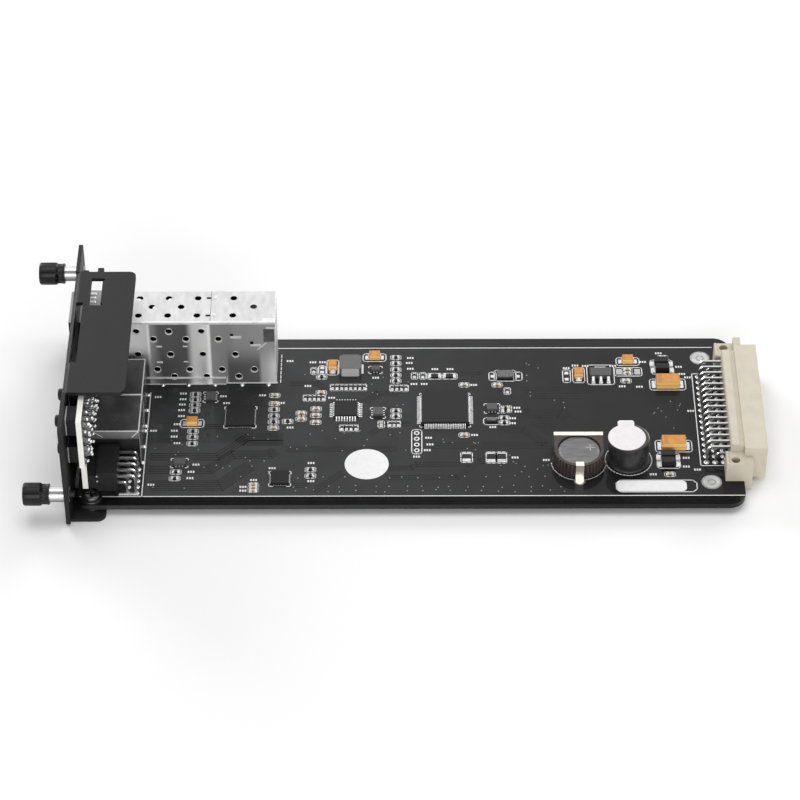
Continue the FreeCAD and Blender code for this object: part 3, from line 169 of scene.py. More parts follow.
def finish(
    name, dark, light, rough, metallic=0.0, shine=0.5, size=300.0, stretch=(1, 1, 1), bump=0.2, coat=0.0
):
    """A finish goes from a dark to a light tone with the broad grain, and its roughness sways by 15 percent."""
    sway = rough * 0.15
    made = bpy.data.materials.new(name)
    made.use_nodes = True
    tree = made.node_tree
    grain = add(tree, "ShaderNodeGroup", {"Size": size, "Stretch": stretch}, node_tree=GRAIN).outputs
    lift = add(tree, "ShaderNodeBump", {"Height": grain["Fine"], "Strength": bump, "Distance": SKIN_HEIGHT})
    fill(tree.nodes["Principled BSDF"], {
        "Base Color": mixed(tree, "RGBA", grain["Broad"], colour(dark), colour(light), name="tone"),
        "Roughness": ranged(tree, grain["Broad"], {"To Min": rough - sway, "To Max": rough + sway}),
        "Normal": lift.outputs["Normal"],
        "Metallic": metallic, "Coat Weight": coat, "Specular IOR Level": shine,
    })
    return made


# %% [markdown]
# One piece can show several tones. A mask says where: on the faces that look along an axis, along a stretch
# of the card, or inside a box. More materials on one piece could do it too, but a mask keeps the piece
# whole and can fade.

# %% masks
def facing(made, axis):
    """A mask of the faces that look along one axis, either way."""
    tree = made.node_tree
    normal = add(tree, "ShaderNodeNewGeometry").outputs["True Normal"]
    size = computed(tree, "Math", "ABSOLUTE", split(tree, normal)[axis])
    return computed(tree, "Math", "GREATER_THAN", size, 0.9)


def along(made, axis, stops):
    """A value that follows stops along an axis of the card. A stop is a station in millimetres and a value."""
    tree = made.node_tree
    first, last = stops[0][0], stops[-1][0]
    zero = ORIGIN["XYZ".index(axis)]
    limits = {"From Min": first / PER_METRE + zero, "From Max": last / PER_METRE + zero}
    place = split(tree, object_place(tree))[axis]
    ramp = add(tree, "ShaderNodeValToRGB", {"Fac": ranged(tree, place, limits)})
    ramp.color_ramp.interpolation = "EASE"
    steps = ramp.color_ramp.elements
    for station, value in stops[1:-1]:
        steps.new((station - first) / (last - first)).color = colour(value)
    steps[0].color = colour(stops[0][1])
    steps[-1].color = colour(stops[-1][1])
    return ramp.outputs["Color"]


def within(made, low, high):
    """A mask of the points in a box of the card: no coordinate is farther from the middle than its half."""
    tree = made.node_tree
    low, high = np.array(low) / PER_METRE, np.array(high) / PER_METRE
    offset = computed(tree, "VectorMath", "SUBTRACT", object_place(tree), (low + high) / 2 + ORIGIN)
    share = computed(tree, "VectorMath", "DIVIDE", offset, (high - low) / 2)
    parts = split(tree, computed(tree, "VectorMath", "ABSOLUTE", share))
    most = computed(tree, "Math", "MAXIMUM", parts["X"], parts["Y"])
    return computed(tree, "Math", "LESS_THAN", computed(tree, "Math", "MAXIMUM", most, parts["Z"]), 1.0)


# %% blending by a mask
def blend(made, mask, other, rough=None, metallic=None):
    """Where a mask is one, a finish turns to another tone, and to another roughness or metal share if given."""
    tree = made.node_tree
    if not isinstance(other, bpy.types.NodeSocket):
        other = colour(other)
    for name, value in (("Base Color", other), ("Roughness", rough), ("Metallic", metallic)):
        if value is not None:
            goal = tree.nodes["Principled BSDF"].inputs[name]
            before = goal.links[0].from_socket if goal.links else goal.default_value
            kind = "RGBA" if name == "Base Color" else "FLOAT"
            tree.links.new(mixed(tree, kind, mask, before, value), goal)


# %% [markdown]
# ## The palette
# Blacks come first, because most of the card is black and each black differs: powder coat on the panel, satin
# mask on the board, moulded bodies, and the harder shine of the knobs. Metals follow, from matt rolled sheet to
# folded shields, then the ceramics, the orange tantalum mould and the paper of the stickers. The shields'
# near-black tone is a painted dark reflection, and the bright fold finish is a painted highlight for folds,
# rims and tabs. Each row gives the dark tone, the light tone, the roughness and whatever else sets the finish
# apart.

# %% every finish
PALETTE = {
    "panel_paint": (0.011, 0.016, 0.5, dict(shine=0.2, size=900, bump=0.35)),
    "board_mask": (0.030, (0.037, 0.038, 0.040), 0.42, dict(shine=0.1, size=160, bump=0.08, coat=0.35)),
    "edge_mask": (0.004, 0.007, 0.5, dict(shine=0.04, size=400, bump=0.08)),
    "mask_on_copper": (0.010, 0.016, 0.38, dict(shine=0.2, size=500, bump=0.1)),
    "knob_black": (0.006, 0.012, 0.34, dict(shine=0.22, size=700, bump=0.25)),
    "screw_black": (0.012, 0.02, 0.2, dict(shine=0.6, size=700, bump=0.1, coat=0.8)),
    "black_plastic": (0.011, 0.017, 0.46, dict(shine=0.16, size=1200, bump=0.3)),
    "sounder_black": (0.018, 0.026, 0.3, dict(shine=0.5, size=500, bump=0.1)),
    "chip_black": (0.011, 0.017, 0.55, dict(shine=0.18, size=2600, bump=0.4)),
    "package_grey": (0.062, 0.088, 0.5, dict(shine=0.35, size=2600, bump=0.4)),
    "resistor_black": (0.010, 0.020, 0.35, dict(shine=0.25, size=1500, bump=0.1)),
    "ferrite": (0.085, 0.12, 0.6, dict(size=1800, bump=0.5)),
    "painted_gap_shade": (0.004, 0.008, 0.8, dict(shine=0.05, size=400)),
    "bright_steel": (0.60, 0.70, 0.34, dict(metallic=1.0, size=350, stretch=(1, 6, 6))),
    "ferrule_steel": (0.5, 0.6, 0.3, dict(metallic=0.35, shine=0.3, size=350, stretch=(1, 6, 6))),
    "cage_steel": (0.55, 0.60, 0.45, dict(metallic=0.7, shine=0.15, size=260, stretch=(3, 1, 1), bump=0.05)),
    "collar_steel": (0.30, 0.38, 0.4, dict(metallic=0.6, size=300, bump=0.1)),
    "shade_steel": (0.10, 0.16, 0.4, dict(metallic=0.5, size=300, bump=0.1)),
    # painted dark reflection: the plated shields are toned near black, as if mirroring dark surroundings
    "shield_steel": (0.058, 0.082, 0.24, dict(metallic=0.3, size=200, bump=0.1)),
    # painted highlight: a lit copy of the sheet steel, for folds, rims and tabs that catch the light
    "fold": (0.78, 0.88, 0.3, dict(metallic=0.35, size=400, bump=0.1)),
    "tin": (0.66, 0.78, 0.3, dict(metallic=0.9, size=900, bump=0.1)),
    "pin_tin": (0.62, 0.76, 0.2, dict(metallic=1.0, size=1200, bump=0.2)),
    "land_tin": (0.42, 0.56, 0.36, dict(metallic=0.8, size=260, bump=0.1)),
    # painted shade: a darker copy of the tin for the keypad's solder cones
    "shaded_joint_tin": (0.08, 0.22, 0.25, dict(metallic=0.7, size=1200, bump=0.2)),
    "via_tin": (0.20, 0.34, 0.4, dict(metallic=0.6, size=1500)),
    "gold": ((0.93, 0.86, 0.72), (0.98, 0.94, 0.84), 0.34, dict(metallic=0.8, size=250, bump=0.1)),
    "cell_steel": (0.15, 0.19, 0.34, dict(metallic=0.8, size=240, stretch=(1, 4, 1))),
    "crystal_lid": (0.09, 0.17, 0.4, dict(metallic=0.6, size=1400, bump=0.2)),
    "laminate": ((0.84, 0.82, 0.76), (0.93, 0.92, 0.88), 0.6, dict(size=900, stretch=(1, 1, 5))),
    "beige_plastic": ((0.54, 0.49, 0.39), (0.60, 0.55, 0.44), 0.5, dict(size=220, bump=0.25)),
    "brown_plastic": ((0.030, 0.021, 0.018), (0.050, 0.038, 0.033), 0.42, dict(shine=0.4, size=900)),
    "orange_mould": ((0.52, 0.21, 0.035), (0.62, 0.29, 0.06), 0.5, dict(size=900, bump=0.3)),
    "polarity_bar": ((0.42, 0.16, 0.03), (0.52, 0.22, 0.05), 0.5, dict(size=1500)),
    "tan_ceramic": ((0.40, 0.29, 0.17), (0.52, 0.40, 0.26), 0.4, dict(size=1800, bump=0.15)),
    "white_print": (0.74, 0.86, 0.6, dict(size=2400, bump=0.1)),
    "paper": (0.80, 0.86, 0.65, dict(size=700, bump=0.1)),
    "seal_paper": ((0.74, 0.70, 0.72), (0.80, 0.77, 0.78), 0.55, dict(size=600, bump=0.1)),
    "clear_lens": (0.58, 0.68, 0.2, dict(size=500, bump=0.1, coat=0.5)),
    "display_glass": ((0.012, 0.016, 0.02), (0.02, 0.026, 0.03), 0.08, dict(coat=1.0)),
}
FINISH = {
    name: finish(name, dark, light, rough, **more) for name, (dark, light, rough, more) in PALETTE.items()
}
print(len(FINISH), "finishes")


# %% [markdown]
# Sawn laminate is pale on its edges and dark on its faces, and its far part, under the hood, is painted dark as
# shade. The display's upward faces are painted dark as shade under the hood. The near sides of the tantalum
# mouldings and of the coil are painted lighter as light from the front, and the pins' sides are painted darker
# as shade. The board's lacquer carries a painted sheen: lighter near the panel and darker towards the
# connector. The jacks' shields have a painted highlight as a pale strip under their fold, and painted shade
# below it.

# %% tones that change with place or with the way a face looks, most of them painted light and shade
def face_tone(name, axis, other, rough=None, metallic=None):
    """Gives the faces of a finish that look along one axis a tone of their own."""
    blend(FINISH[name], facing(FINISH[name], axis), other, rough, metallic)


face_tone("laminate", "X", (0.014, 0.016, 0.015), 0.45)
# painted shade: the laminate's far part, under the hood, is darkened
blend(FINISH["laminate"], along(FINISH["laminate"], "Y", [(-24, 0.0), (-14, 1.0)]), 0.02)
# painted shade: the display's upward faces, under the hood, are dark and rough
face_tone("display_glass", "Z", 0.006, 0.9)
# painted sheen: the lacquer is lighter near the panel and darker towards the connector
blend(FINISH["board_mask"], along(FINISH["board_mask"], "X", [(20, 0.0), (190, 1.0)]), (0.005, 0.005, 0.006))
# painted light: the tantalums' near faces, lit from the front, are a lighter orange than their tops
face_tone("orange_mould", "Y", (1.0, 0.61, 0.19))
# painted light: the coil's near faces are lighter than its top
face_tone("ferrite", "Y", 0.5)
# painted shade: the pins' sides are darker than their tops
face_tone("pin_tin", "Y", 0.26, 0.4)
# painted highlight and shade: a pale strip under the shield's fold, and darker below it
painted_strip_and_shade = along(FINISH["shield_steel"], "Z", [(10.0, 0.012), (10.9, 0.15), (13.4, 0.22)])
face_tone("shield_steel", "Y", painted_strip_and_shade, 0.4, 0.2)


# %% [markdown]
# Bright sheet and turned steel mirror the room around them in bands. A ferrule shows bands along its length,
# set by height, and the thin side of the cage shows upright ones, which change from its top to its foot.
# Building a whole room to mirror would light the card unevenly, so the bands are painted reflections in these
# two finishes. The side's bands start dark where the hood shades the cage, which is painted shade, and the
# cage's inside faces are painted dark as shade.

# %% mirrored bands, painted as reflections, and painted shade in the cage
CAPTIVE = {"near": (-38.0, 5.6), "far": (38.0, 25.6)}
ROUND_BANDS = [
    (-2.6, 0.12), (-0.74, 0.2), (-0.21, 0.4), (0.19, 0.52), (0.54, 0.8), (0.88, 0.92), (1.16, 0.88),
    (1.41, 0.6), (1.65, 0.3), (1.84, 0.2), (2.01, 0.46), (2.16, 0.86), (2.6, 0.88),
]
# painted reflections in upright bands on the cage's side; the dark first stops are painted shade under the hood
HIGH_BANDS = [
    (8, 0.03), (13, 0.5), (16, 0.9), (20.9, 0.75), (21.5, 1.0), (22.2, 0.3), (25, 0.12), (32.5, 0.10),
    (35, 0.65), (38.8, 0.75), (39.6, 1.0), (40.4, 0.28), (45.4, 0.26), (48, 0.3), (59.5, 0.34),
]
LOW_BANDS = [
    (8, 0.03), (18, 0.06), (20.9, 0.07), (21.5, 0.35), (23.8, 0.16), (25.5, 0.08), (32.5, 0.10), (35, 0.65),
    (38, 0.5), (39.6, 1.0), (40.4, 0.3), (44.5, 0.24), (45.4, 0.10), (54, 0.12), (55.5, 0.45), (59.5, 0.75),
]
steel = FINISH["ferrule_steel"]
face_tone("ferrule_steel", "X", 0.4)
bands = [(axis + rise, tone) for _, axis in CAPTIVE.values() for rise, tone in ROUND_BANDS]
by_height = along(steel, "Z", bands)
fill(steel.node_tree.nodes["tone"], dict.fromkeys(MIX_SOCKETS["RGBA"][:2], by_height))

steel = FINISH["cage_steel"]
blend(steel, along(steel, "X", [(-1, 1.0), (1, 0.0)]), 0.34)
upright = mixed(
    steel.node_tree, "RGBA", along(steel, "Z", [(6, 0.0), (16, 1.0)]),
    along(steel, "X", LOW_BANDS), along(steel, "X", HIGH_BANDS),
)
face_tone("cage_steel", "Y", upright, 0.36, 0.12)
# painted shade: the cage's inside faces are darkened
blend(steel, within(steel, (-3, 16.55, -1), (59.1, 30.55, 24.35)), 0.012, 0.8, 0.0)
print(len(steel.node_tree.nodes), "nodes in the cage's finish")

# %% [markdown]
# Every node of the frame asks for a slot, and most slots have a finish of the same name. A few nodes look
# unlike the rest of their slot, such as the jacks' shields, and they are listed here. Only the material of
# a node changes: its shape stays as it came.

# %% which node of the frame wears which finish
WEARS = {
    "shield_steel": ["near_jack_shield", "far_jack_shield"],
    "cage_steel": ["cage_cover", "cage_floor", "cage_divider"],
    "collar_steel": ["cage_collar"],
    "tin": ["tantalum_terminals", "regulator_leads"],
    "package_grey": ["regulator_body"],
    "cell_steel": ["crystals"],
    "seal_paper": ["sounder_seal"],
    "paper": ["board_labels"],
}
slot_of = {row["node"]: row["material_slot"] for row in frame["record"]["subparts"]}
look_of = {node: look for look, nodes in WEARS.items() for node in nodes}
for node, shown in frame["nodes"].items():
    shown.data.materials.clear()
    shown.data.materials.append(FINISH[look_of.get(node, slot_of[node])])
print(len(frame["nodes"]), "nodes dressed")


# %% [markdown]
# ## Tools for shapes
# Every new piece is an array of points and arrays of faces. The points are written in millimetres from the
# panel's front face, the board's middle line and the board's top, as a designer would read them off a
# drawing. Edges that turn by more than a set angle stay sharp, and the rest are shaded smooth.

# %% putting arrays into the scene
def put(name, shape, look, slot, body="card", stands_for=(), smooth=30.0, ends=None):
    """Turns a shape, which is points in card millimetres and a list of face arrays, into a piece on a body.
    Where end points are given, the piece is kept where it is made and joins no body."""
    points, faces = shape
    places = np.asarray(points, float).reshape(-1, 3) / PER_METRE + ORIGIN
    mesh = bpy.data.meshes.new(name)
    mesh.from_pydata(places.tolist(), [], sum((np.asarray(group).tolist() for group in faces), []))
    mesh.materials.append(FINISH[look])
    if smooth:
        mesh.shade_smooth()
        mesh.set_sharp_from_angle(angle=math.radians(smooth))
    piece = bpy.data.objects.new(name, mesh)
    scene.collection.objects.link(piece)
    if ends:
        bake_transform(piece)
    else:
        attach(piece, body)
    if stands_for:
        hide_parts(*stands_for)
    print(f"{name}: {len(places)} points, {len(mesh.polygons)} faces")


def joined(*shapes):
    """Several shapes as one: each shape's faces count on from the points before it."""
    points = [np.reshape(places, (-1, 3)) for places, _ in shapes]
    starts = np.cumsum([0] + [len(places) for places in points])
    faces = [group + start for (_, groups), start in zip(shapes, starts) for group in groups]
    return np.concatenate(points), faces


def tinned(name, shape, **more):
    """A piece of bright tin, such as a lead, a pad or a drop of solder."""
    put(name, shape, "tin", "bright_steel", **more)


# %% [markdown]
# Most parts of a circuit card are small blocks. A block with knife edges looks false, because real edges
# catch the light, and a Bevel modifier on hundreds of parts would be slow. So the faces of one block with
# cut edges are worked out once, over 24 points, and copied for every block of a piece.

# %% blocks with cut edges
CORNERS = np.array(list(itertools.product((-1, 1), repeat=3)), float)
SET_BACK = 1 - np.eye(3)


def brick_faces():
    """The faces of a block with cut edges: six sides, twelve edges and eight corners, all facing out."""
    model = (CORNERS[:, None] * (1 - 0.2 * SET_BACK)).reshape(-1, 3)
    rings = []
    for axis in range(3):
        step, u_step, v_step = (4 >> (axis + k) % 3 for k in range(3))
        a, b = (axis + 1) % 3, (axis + 2) % 3
        for base in (0, step):
            corners = (base, base + u_step, base + u_step + v_step, base + v_step)
            rings.append([3 * corner + axis for corner in corners])
        for first in (0, v_step, u_step, u_step + v_step):
            last = first + step
            rings.append([3 * first + a, 3 * last + a, 3 * last + b, 3 * first + b])
    rings += [[3 * corner, 3 * corner + 1, 3 * corner + 2] for corner in range(8)]
    for number, ring in enumerate(rings):
        p = model[ring]
        if np.cross(p[1] - p[0], p[2] - p[0]) @ p.mean(0) < 0:
            rings[number] = ring[::-1]
    return np.array(rings[:18]), np.array(rings[18:])


BRICK_QUADS, BRICK_TRIANGLES = brick_faces()


def bricks(low, high, cut=0.1, lean=0.0):
    """Blocks with cut edges. A corner is three points, each on one face and set back along the other axes.
    With lean, the top shrinks by that much on every side, as moulded bodies do to leave their mould."""
    low, high = np.atleast_2d(low).astype(float), np.atleast_2d(high).astype(float)
    middle, half = ((low + high) / 2)[:, None, None], ((high - low) / 2)[:, None, None]
    offset = CORNERS[:, None] * (half - cut * SET_BACK)
    shrink = 1 - lean * (offset[..., 2:] + half[..., 2:]) / (2 * half[..., 2:]) / half
    shrink[..., 2] = 1.0
    step = 24 * np.arange(len(low))[:, None, None]
    faces = [(BRICK_QUADS + step).reshape(-1, 4), (BRICK_TRIANGLES + step).reshape(-1, 3)]
    return (middle + offset * shrink).reshape(-1, 3), faces


def listed(rows, cut):
    """Blocks from rows of six numbers: the lowest corner, then the highest."""
    rows = np.array(rows)
    return bricks(rows[:, :3], rows[:, 3:], cut)


def plates(low, high, top, cut, foot=0.0):
    """Low blocks on the board, from their corners in plan."""
    level = np.ones((len(low), 1))
    return bricks(np.hstack([low, foot * level]), np.hstack([high, top * level]), cut)


print("a block has", len(BRICK_QUADS) + len(BRICK_TRIANGLES), "faces")


# %% [markdown]
# Knobs, studs, keys, solder and the coin cell are round. Spin would turn a profile by hand. As an array,
# one call turns a profile about every centre at once, and a ripple in the radius makes ribs, dents and
# threads.

# %% turned shapes
AXIS_TURN = {"z": 0, "x": 1, "y": 2}
FLIPPED = [0, 3, 2, 1]


def ring_quads(rows, around):
    """Faces between rows of points that close round: a point, the next, and the two beside them a row on."""
    row, column = np.meshgrid(np.arange(rows - 1) * around, np.arange(around), indexing="ij")
    after = (column + 1) % around
    corners = [row + column, row + after, row + around + after, row + around + column]
    return np.stack(corners, -1).reshape(-1, 4)


def turned(profile, centres, axis="z", steps=40, ripple=0.0, capped=True):
    """Surfaces of revolution: each (station, radius) of the profile is swept round the axis through every
    centre. A ripple, one value per station and angle, is added to the radius. Caps close both ends flat."""
    profile, centres = np.asarray(profile, float), np.atleast_2d(centres).astype(float)
    rows = len(profile)
    angle = np.linspace(0, 2 * np.pi, steps, endpoint=False)
    station = np.repeat(profile[:, :1], steps, axis=1)
    radius = 0 * station + profile[:, 1:] + ripple
    local = np.stack([radius * np.cos(angle), radius * np.sin(angle), station], -1)
    points = centres[:, None, None] + np.roll(local, AXIS_TURN[axis], axis=-1)
    faces = [ring_quads(rows, steps)]
    if capped:
        faces += [np.arange(steps)[None, ::-1], np.arange(steps)[None] + (rows - 1) * steps]
    step = rows * steps * np.arange(len(centres))[:, None, None]
    return points.reshape(-1, 3), [(group + step).reshape(-1, group.shape[1]) for group in faces]


print(len(ring_quads(2, 40)), "faces in one band of a turned shape")


# %% [markdown]
# ## Captive screws
# Two knurled knobs draw the card into its chassis and stay on the panel when loose. A real knob is moulded
# on a steel stud: straight ribs give grip, and a narrower skirt with round dents runs back over a bright
# ferrule. The ribs are one ripple in the radius of a turned shape, so a whole knob is a single array.

# %% knobs, studs and ferrules
KNOB_STEPS, RIBS, DENTS = 132, 12, 8
THREAD_STEPS, THREAD_PITCH = 36, 0.5
FERRULE = [
    (-6.0, 2.0), (-6.0, 2.5), (-5.9, 2.6), (-5.3, 2.6), (-5.2, 2.5), (-5.2, 2.3), (1.2, 2.3), (1.2, 1.6),
    (-0.4, 1.6), (-0.4, 2.0), (-6.0, 2.0),
]


def knob(y, z):
    """Radius against station, with broad ribs as a wave in the angle and dents as round dips on the skirt."""
    outer = [
        (-12.2, 0.05), (-12.2, 2.75), (-12.15, 2.95), (-12.02, 3.16), (-11.85, 3.3), (-11.55, 3.38),
        (-10.2, 3.4), (-9.2, 3.4), (-8.2, 3.4), (-7.4, 3.4), (-6.95, 3.32), (-6.75, 3.1), (-6.6, 2.98),
        (-6.3, 2.98), (-6.0, 2.98), (-5.7, 2.98), (-5.4, 3.0), (-5.1, 3.04), (-4.8, 3.1), (-4.55, 3.1),
        (-4.5, 3.0),
    ]
    inner = [(-4.5, 2.45), (-5.1, 2.45), (-5.1, 2.8), (-10.2, 2.8), (-10.2, 0.05)]
    profile = np.array(outer + inner)
    station, outside = profile[:, :1], profile[:, 1:] > 2.9
    angle = np.linspace(0, 2 * np.pi, KNOB_STEPS, endpoint=False)
    wave = np.clip(3.2 * np.abs(np.cos(RIBS / 2 * angle)) - 0.2, 0, 1)
    ribbed = (station > -12.1) & (station < -6.9) & outside
    turn = (angle * DENTS / (2 * np.pi)) % 1 - 0.5
    dip = np.clip(1 - (turn / 0.32) ** 2 - ((station + 5.75) / 0.75) ** 2, 0, 1)
    skirt = (station > -6.65) & (station < -4.7) & outside
    return turned(profile, (0, y, z), "x", KNOB_STEPS, ribbed * (wave - 1) * 0.3 - skirt * dip * 0.35)


def thread(y, z):
    """A stud whose radius is a V-shaped wave along a helix: station plus the angle's share of the pitch."""
    station = np.concatenate([[-10.2, -3.3], np.linspace(-3.2, 0.8, 65), [1.4, 2.6, 2.8, 2.8]])
    steps = [-10.2, -3.25, -3.2, 0.8, 1.4, 2.6, 2.8]
    radius = np.interp(station, steps, [1.15, 1.15, 1.45, 1.45, 1.0, 1.0, 0.8])
    radius[-1] = 0.02
    angle = np.linspace(0, 2 * np.pi, THREAD_STEPS, endpoint=False)
    phase = (station[:, None] / THREAD_PITCH + angle / (2 * np.pi)) % 1
    cut = ((station > -3.15) & (station < 0.75))[:, None]
    groove = cut * (0.05 - 0.3 * np.abs(phase - 0.5) * 2)
    return turned(np.column_stack([station, radius]), (0, y, z), "x", THREAD_STEPS, groove)


for side, (y, z) in CAPTIVE.items():
    put(f"{side}_ribbed_knob", knob(y, z), "knob_black", "knob_black", f"{side}_screw", [f"{side}_knob"], 50)
    put(f"{side}_threaded_stud", thread(y, z), "knob_black", "bright_steel", f"{side}_screw",
        [f"{side}_stud"], 40)
    put(f"{side}_bright_ferrule", turned(FERRULE, (0, y, z), "x", 48, capped=False), "ferrule_steel",
        "bright_steel", "card", [f"{side}_ferrule"], 40)


# %% [markdown]
# A coil spring inside each knob pushes it out. It is wound from round wire on a rod. One end stays on the panel
# and the other follows the knob. The piece is one rigid coil between the ends of the frame's spring and joins
# no body, so it would cut through the knob as the knob goes in.

# %% springs
def coil_spring(start, end, y, z, radius=1.7, wire=0.15, turns=3, rows=97, around=8):
    """A round wire carried along a helix. Each ring lies in the plane of the axis and its own spoke."""
    angle = np.linspace(0, 2 * np.pi * turns, rows)[:, None]
    round_wire = np.linspace(0, 2 * np.pi, around, endpoint=False)[None]
    spoke = radius + wire * np.cos(round_wire)
    station = start + wire + (end - start - 2 * wire) * angle / angle.max() + wire * np.sin(round_wire)
    points = np.stack([station, y + spoke * np.cos(angle), z + spoke * np.sin(angle)], -1)
    ring = np.arange(around)[None]
    return points, [ring_quads(rows, around)[:, FLIPPED], ring, ring[:, ::-1] + around * (rows - 1)]


for side, (y, z) in CAPTIVE.items():
    low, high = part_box(f"{side}_spring")
    start, end = (low.x - ORIGIN[0]) * PER_METRE, (high.x - ORIGIN[0]) * PER_METRE
    middle = ((low + high) / 2).yz
    put(f"{side}_coil_spring", coil_spring(start, end, y, z), "bright_steel", "bright_steel",
        ("card", f"{side}_slip"), [f"{side}_spring"], 60, ((high.x, *middle), (low.x, *middle)))


# %% [markdown]
# ## Keys and fixing screws
# Four press keys stand out of the panel. They are moulded stems with a rounded end. Two black pan-head
# screws hold the board to the panel's tabs; their cross recess is a dip in the height of a domed disc,
# which needs no boolean cut.

# %% key stems and pan heads
KEYS = {
    "a": ("near_upper", -31.5, 28.3), "b": ("near_lower", -31.5, 17.8),
    "c": ("far_upper", -20.2, 28.3), "d": ("far_lower", -20.2, 17.8),
}
FIXINGS = [(7.0, -33.8, 0.0), (7.0, 33.8, 0.0)]
_, key_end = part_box("key_near_upper")
stem_end = (key_end.x - ORIGIN[0]) * PER_METRE
STEM = [
    (-1.8, 0.02), (-1.8, 1.1), (-1.74, 1.4), (-1.55, 1.65), (-1.3, 1.75), (stem_end, 1.75), (stem_end, 0.02),
]
for letter, (node, y, z) in KEYS.items():
    put(f"key_{node}_stem", turned(STEM, (0, y, z), "x", 36), "black_plastic", "black_plastic",
        f"key_{letter}", [f"key_{node}"])


def pan_head(x, y, steps=64, face=1.9):
    """A domed disc over a washer in polar rings. Height falls where the smaller of |x| and |y| is under 0.42,
    which is a cross, and the cross fades out towards the rim."""
    inner = np.linspace(0.02, face, 20)
    rings = np.concatenate([inner, [2.2, 2.4, 2.42, 2.42, 2.75, 2.8, 2.8]])[:, None]
    crown = 2.0 - 0.18 * (inner / face) ** 2
    dome = np.concatenate([crown, [1.66, 1.35, 1.1, 0.42, 0.42, 0.35, 0.0]])[:, None]
    angle = np.linspace(0, 2 * np.pi, steps, endpoint=False)
    px, py = rings * np.cos(angle), rings * np.sin(angle)
    arms = np.clip((0.42 - np.minimum(np.abs(px), np.abs(py))) / 0.12, 0, 1)
    points = np.stack([x + px, y + py, dome - 0.9 * arms * np.clip((1.5 - rings) / 0.25, 0, 1)], -1)
    ring = np.arange(steps)[None]
    return points, [ring_quads(len(rings), steps)[:, FLIPPED], ring, ring[:, ::-1] + (len(rings) - 1) * steps]


shanks = turned([(-3.3, 0.02), (-3.3, 1.15), (-3.2, 1.25), (0.0, 1.25)], FIXINGS, "z", 20)
put("fixing_screws", joined(*[pan_head(x, y) for x, y, _ in FIXINGS], shanks), "screw_black", "knob_black",
    stands_for=["board_screws"], smooth=40)


# %% [markdown]
# ## Chips, capacitors and tantalums
# Chip resistors and capacitors are sawn ceramic blocks with plated ends. A paste of solder holds each end
# to a bright pad. The frame has a plain block for each, and its corners say where the finer body, its two
# end caps, its pads and the print around it go. A box's longer side tells which way its ends face.
# Instances could copy one finished chip, but the sizes differ, and arrays take each box as it is.

# %% chip parts read from the frame's blocks
PAD_TOP = 0.09


def blocks_of(node):
    """Lowest and highest corners, in card millimetres, of every box in a node: 24 points each, in order."""
    mesh = frame["nodes"][node].data
    flat = np.empty(len(mesh.vertices) * 3)
    mesh.vertices.foreach_get("co", flat)
    corners = (flat.reshape(-1, 24, 3) - ORIGIN) * PER_METRE
    return corners.min(1), corners.max(1)


def longer_way(low, high):
    """Whether each box is longer along x, 0, or along y, 1, and the same as a one in a row of three."""
    longer = ((high - low)[:, 1] > (high - low)[:, 0]).astype(int)
    return longer, np.eye(3)[longer]


def end_pads(low, high, ends, reach, under, margin):
    """Two pads per box: each goes from a reach beyond one end to under the box, and is wider by a margin."""
    sides = 1 - ends
    span = high - low + margin
    pads_low = np.concatenate([low - ends * reach - sides * margin, high - ends * under - sides * span])
    pads_high = np.concatenate([low + ends * under + sides * span, high + ends * reach + sides * margin])
    return plates(pads_low[:, :2], pads_high[:, :2], PAD_TOP, 0.04)


def chip_shapes(node, look, name):
    """From each block's box: a body between caps, caps a little larger all round, and pads beyond the ends."""
    low, high = blocks_of(node)
    longer, ends = longer_way(low, high)
    span = high - low
    cap = np.minimum((span * ends).sum(1) * 0.24, 0.55)[:, None]
    inset = ends * cap * 0.6 + 0.03
    put(f"{name}_bodies", bricks(low + inset, high - inset, 0.05), look, look, stands_for=[node])
    caps_low = np.concatenate([low, low + ends * (span - cap)])
    caps_high = np.concatenate([high - ends * (span - cap), high])
    tinned(f"{name}_ends", bricks(caps_low, caps_high, 0.08))
    tinned(f"{name}_pads", end_pads(low, high, ends, 0.35, cap, 0.06))
    return low, high, longer


resistors = chip_shapes("chip_resistors", "resistor_black", "resistor")
capacitors = chip_shapes("chip_capacitors", "tan_ceramic", "capacitor")


# %% [markdown]
# Round each chip the board carries a printed frame, which tells an assembler where the part goes. Chips in
# a row share the room between them, so a frame has to know its neighbours. All the lines are collected
# here, and the ink is laid down later in one piece.

# %% frames round the chips
def brackets(low, high, longer, beyond=0.72, beside=0.5, cut=0.3):
    """A frame with cut corners round each chip, drawn as four quarters that meet in the middle. Its long sides
    keep halfway to the next chip, where one lies closer than their usual distance."""
    n = np.arange(len(low))
    middle, half = (low + high) / 2, (high - low) / 2
    apart = np.abs(middle[:, None, :2] - middle[None, :, :2])
    aside = apart[n, :, 1 - longer]
    alike = (longer[:, None] == longer[None]) & (apart[n, :, longer] < 1.2) & (aside > 0.1)
    room = np.where(alike, aside, 9.0).min(1) / 2
    length, breadth = half[n, longer] + beyond, np.minimum(half[n, 1 - longer] + beside, room)
    quarter = [(0 * length, breadth), (length - cut, breadth), (length, breadth - cut), (length, 0 * length)]
    lines = []
    for u_sign, v_sign in itertools.product((-1, 1), repeat=2):
        spots = [np.column_stack([u_sign * u, v_sign * v]) for u, v in quarter]
        spots = [np.where(longer[:, None] == 0, spot, spot[:, ::-1]) + middle[:, :2] for spot in spots]
        lines += [np.column_stack(pair) for pair in zip(spots[:-1], spots[1:])]
    return np.concatenate(lines)


PRINT_LINES = [brackets(*resistors), brackets(*capacitors)]
print(sum(map(len, PRINT_LINES)), "lines of print round the chips")

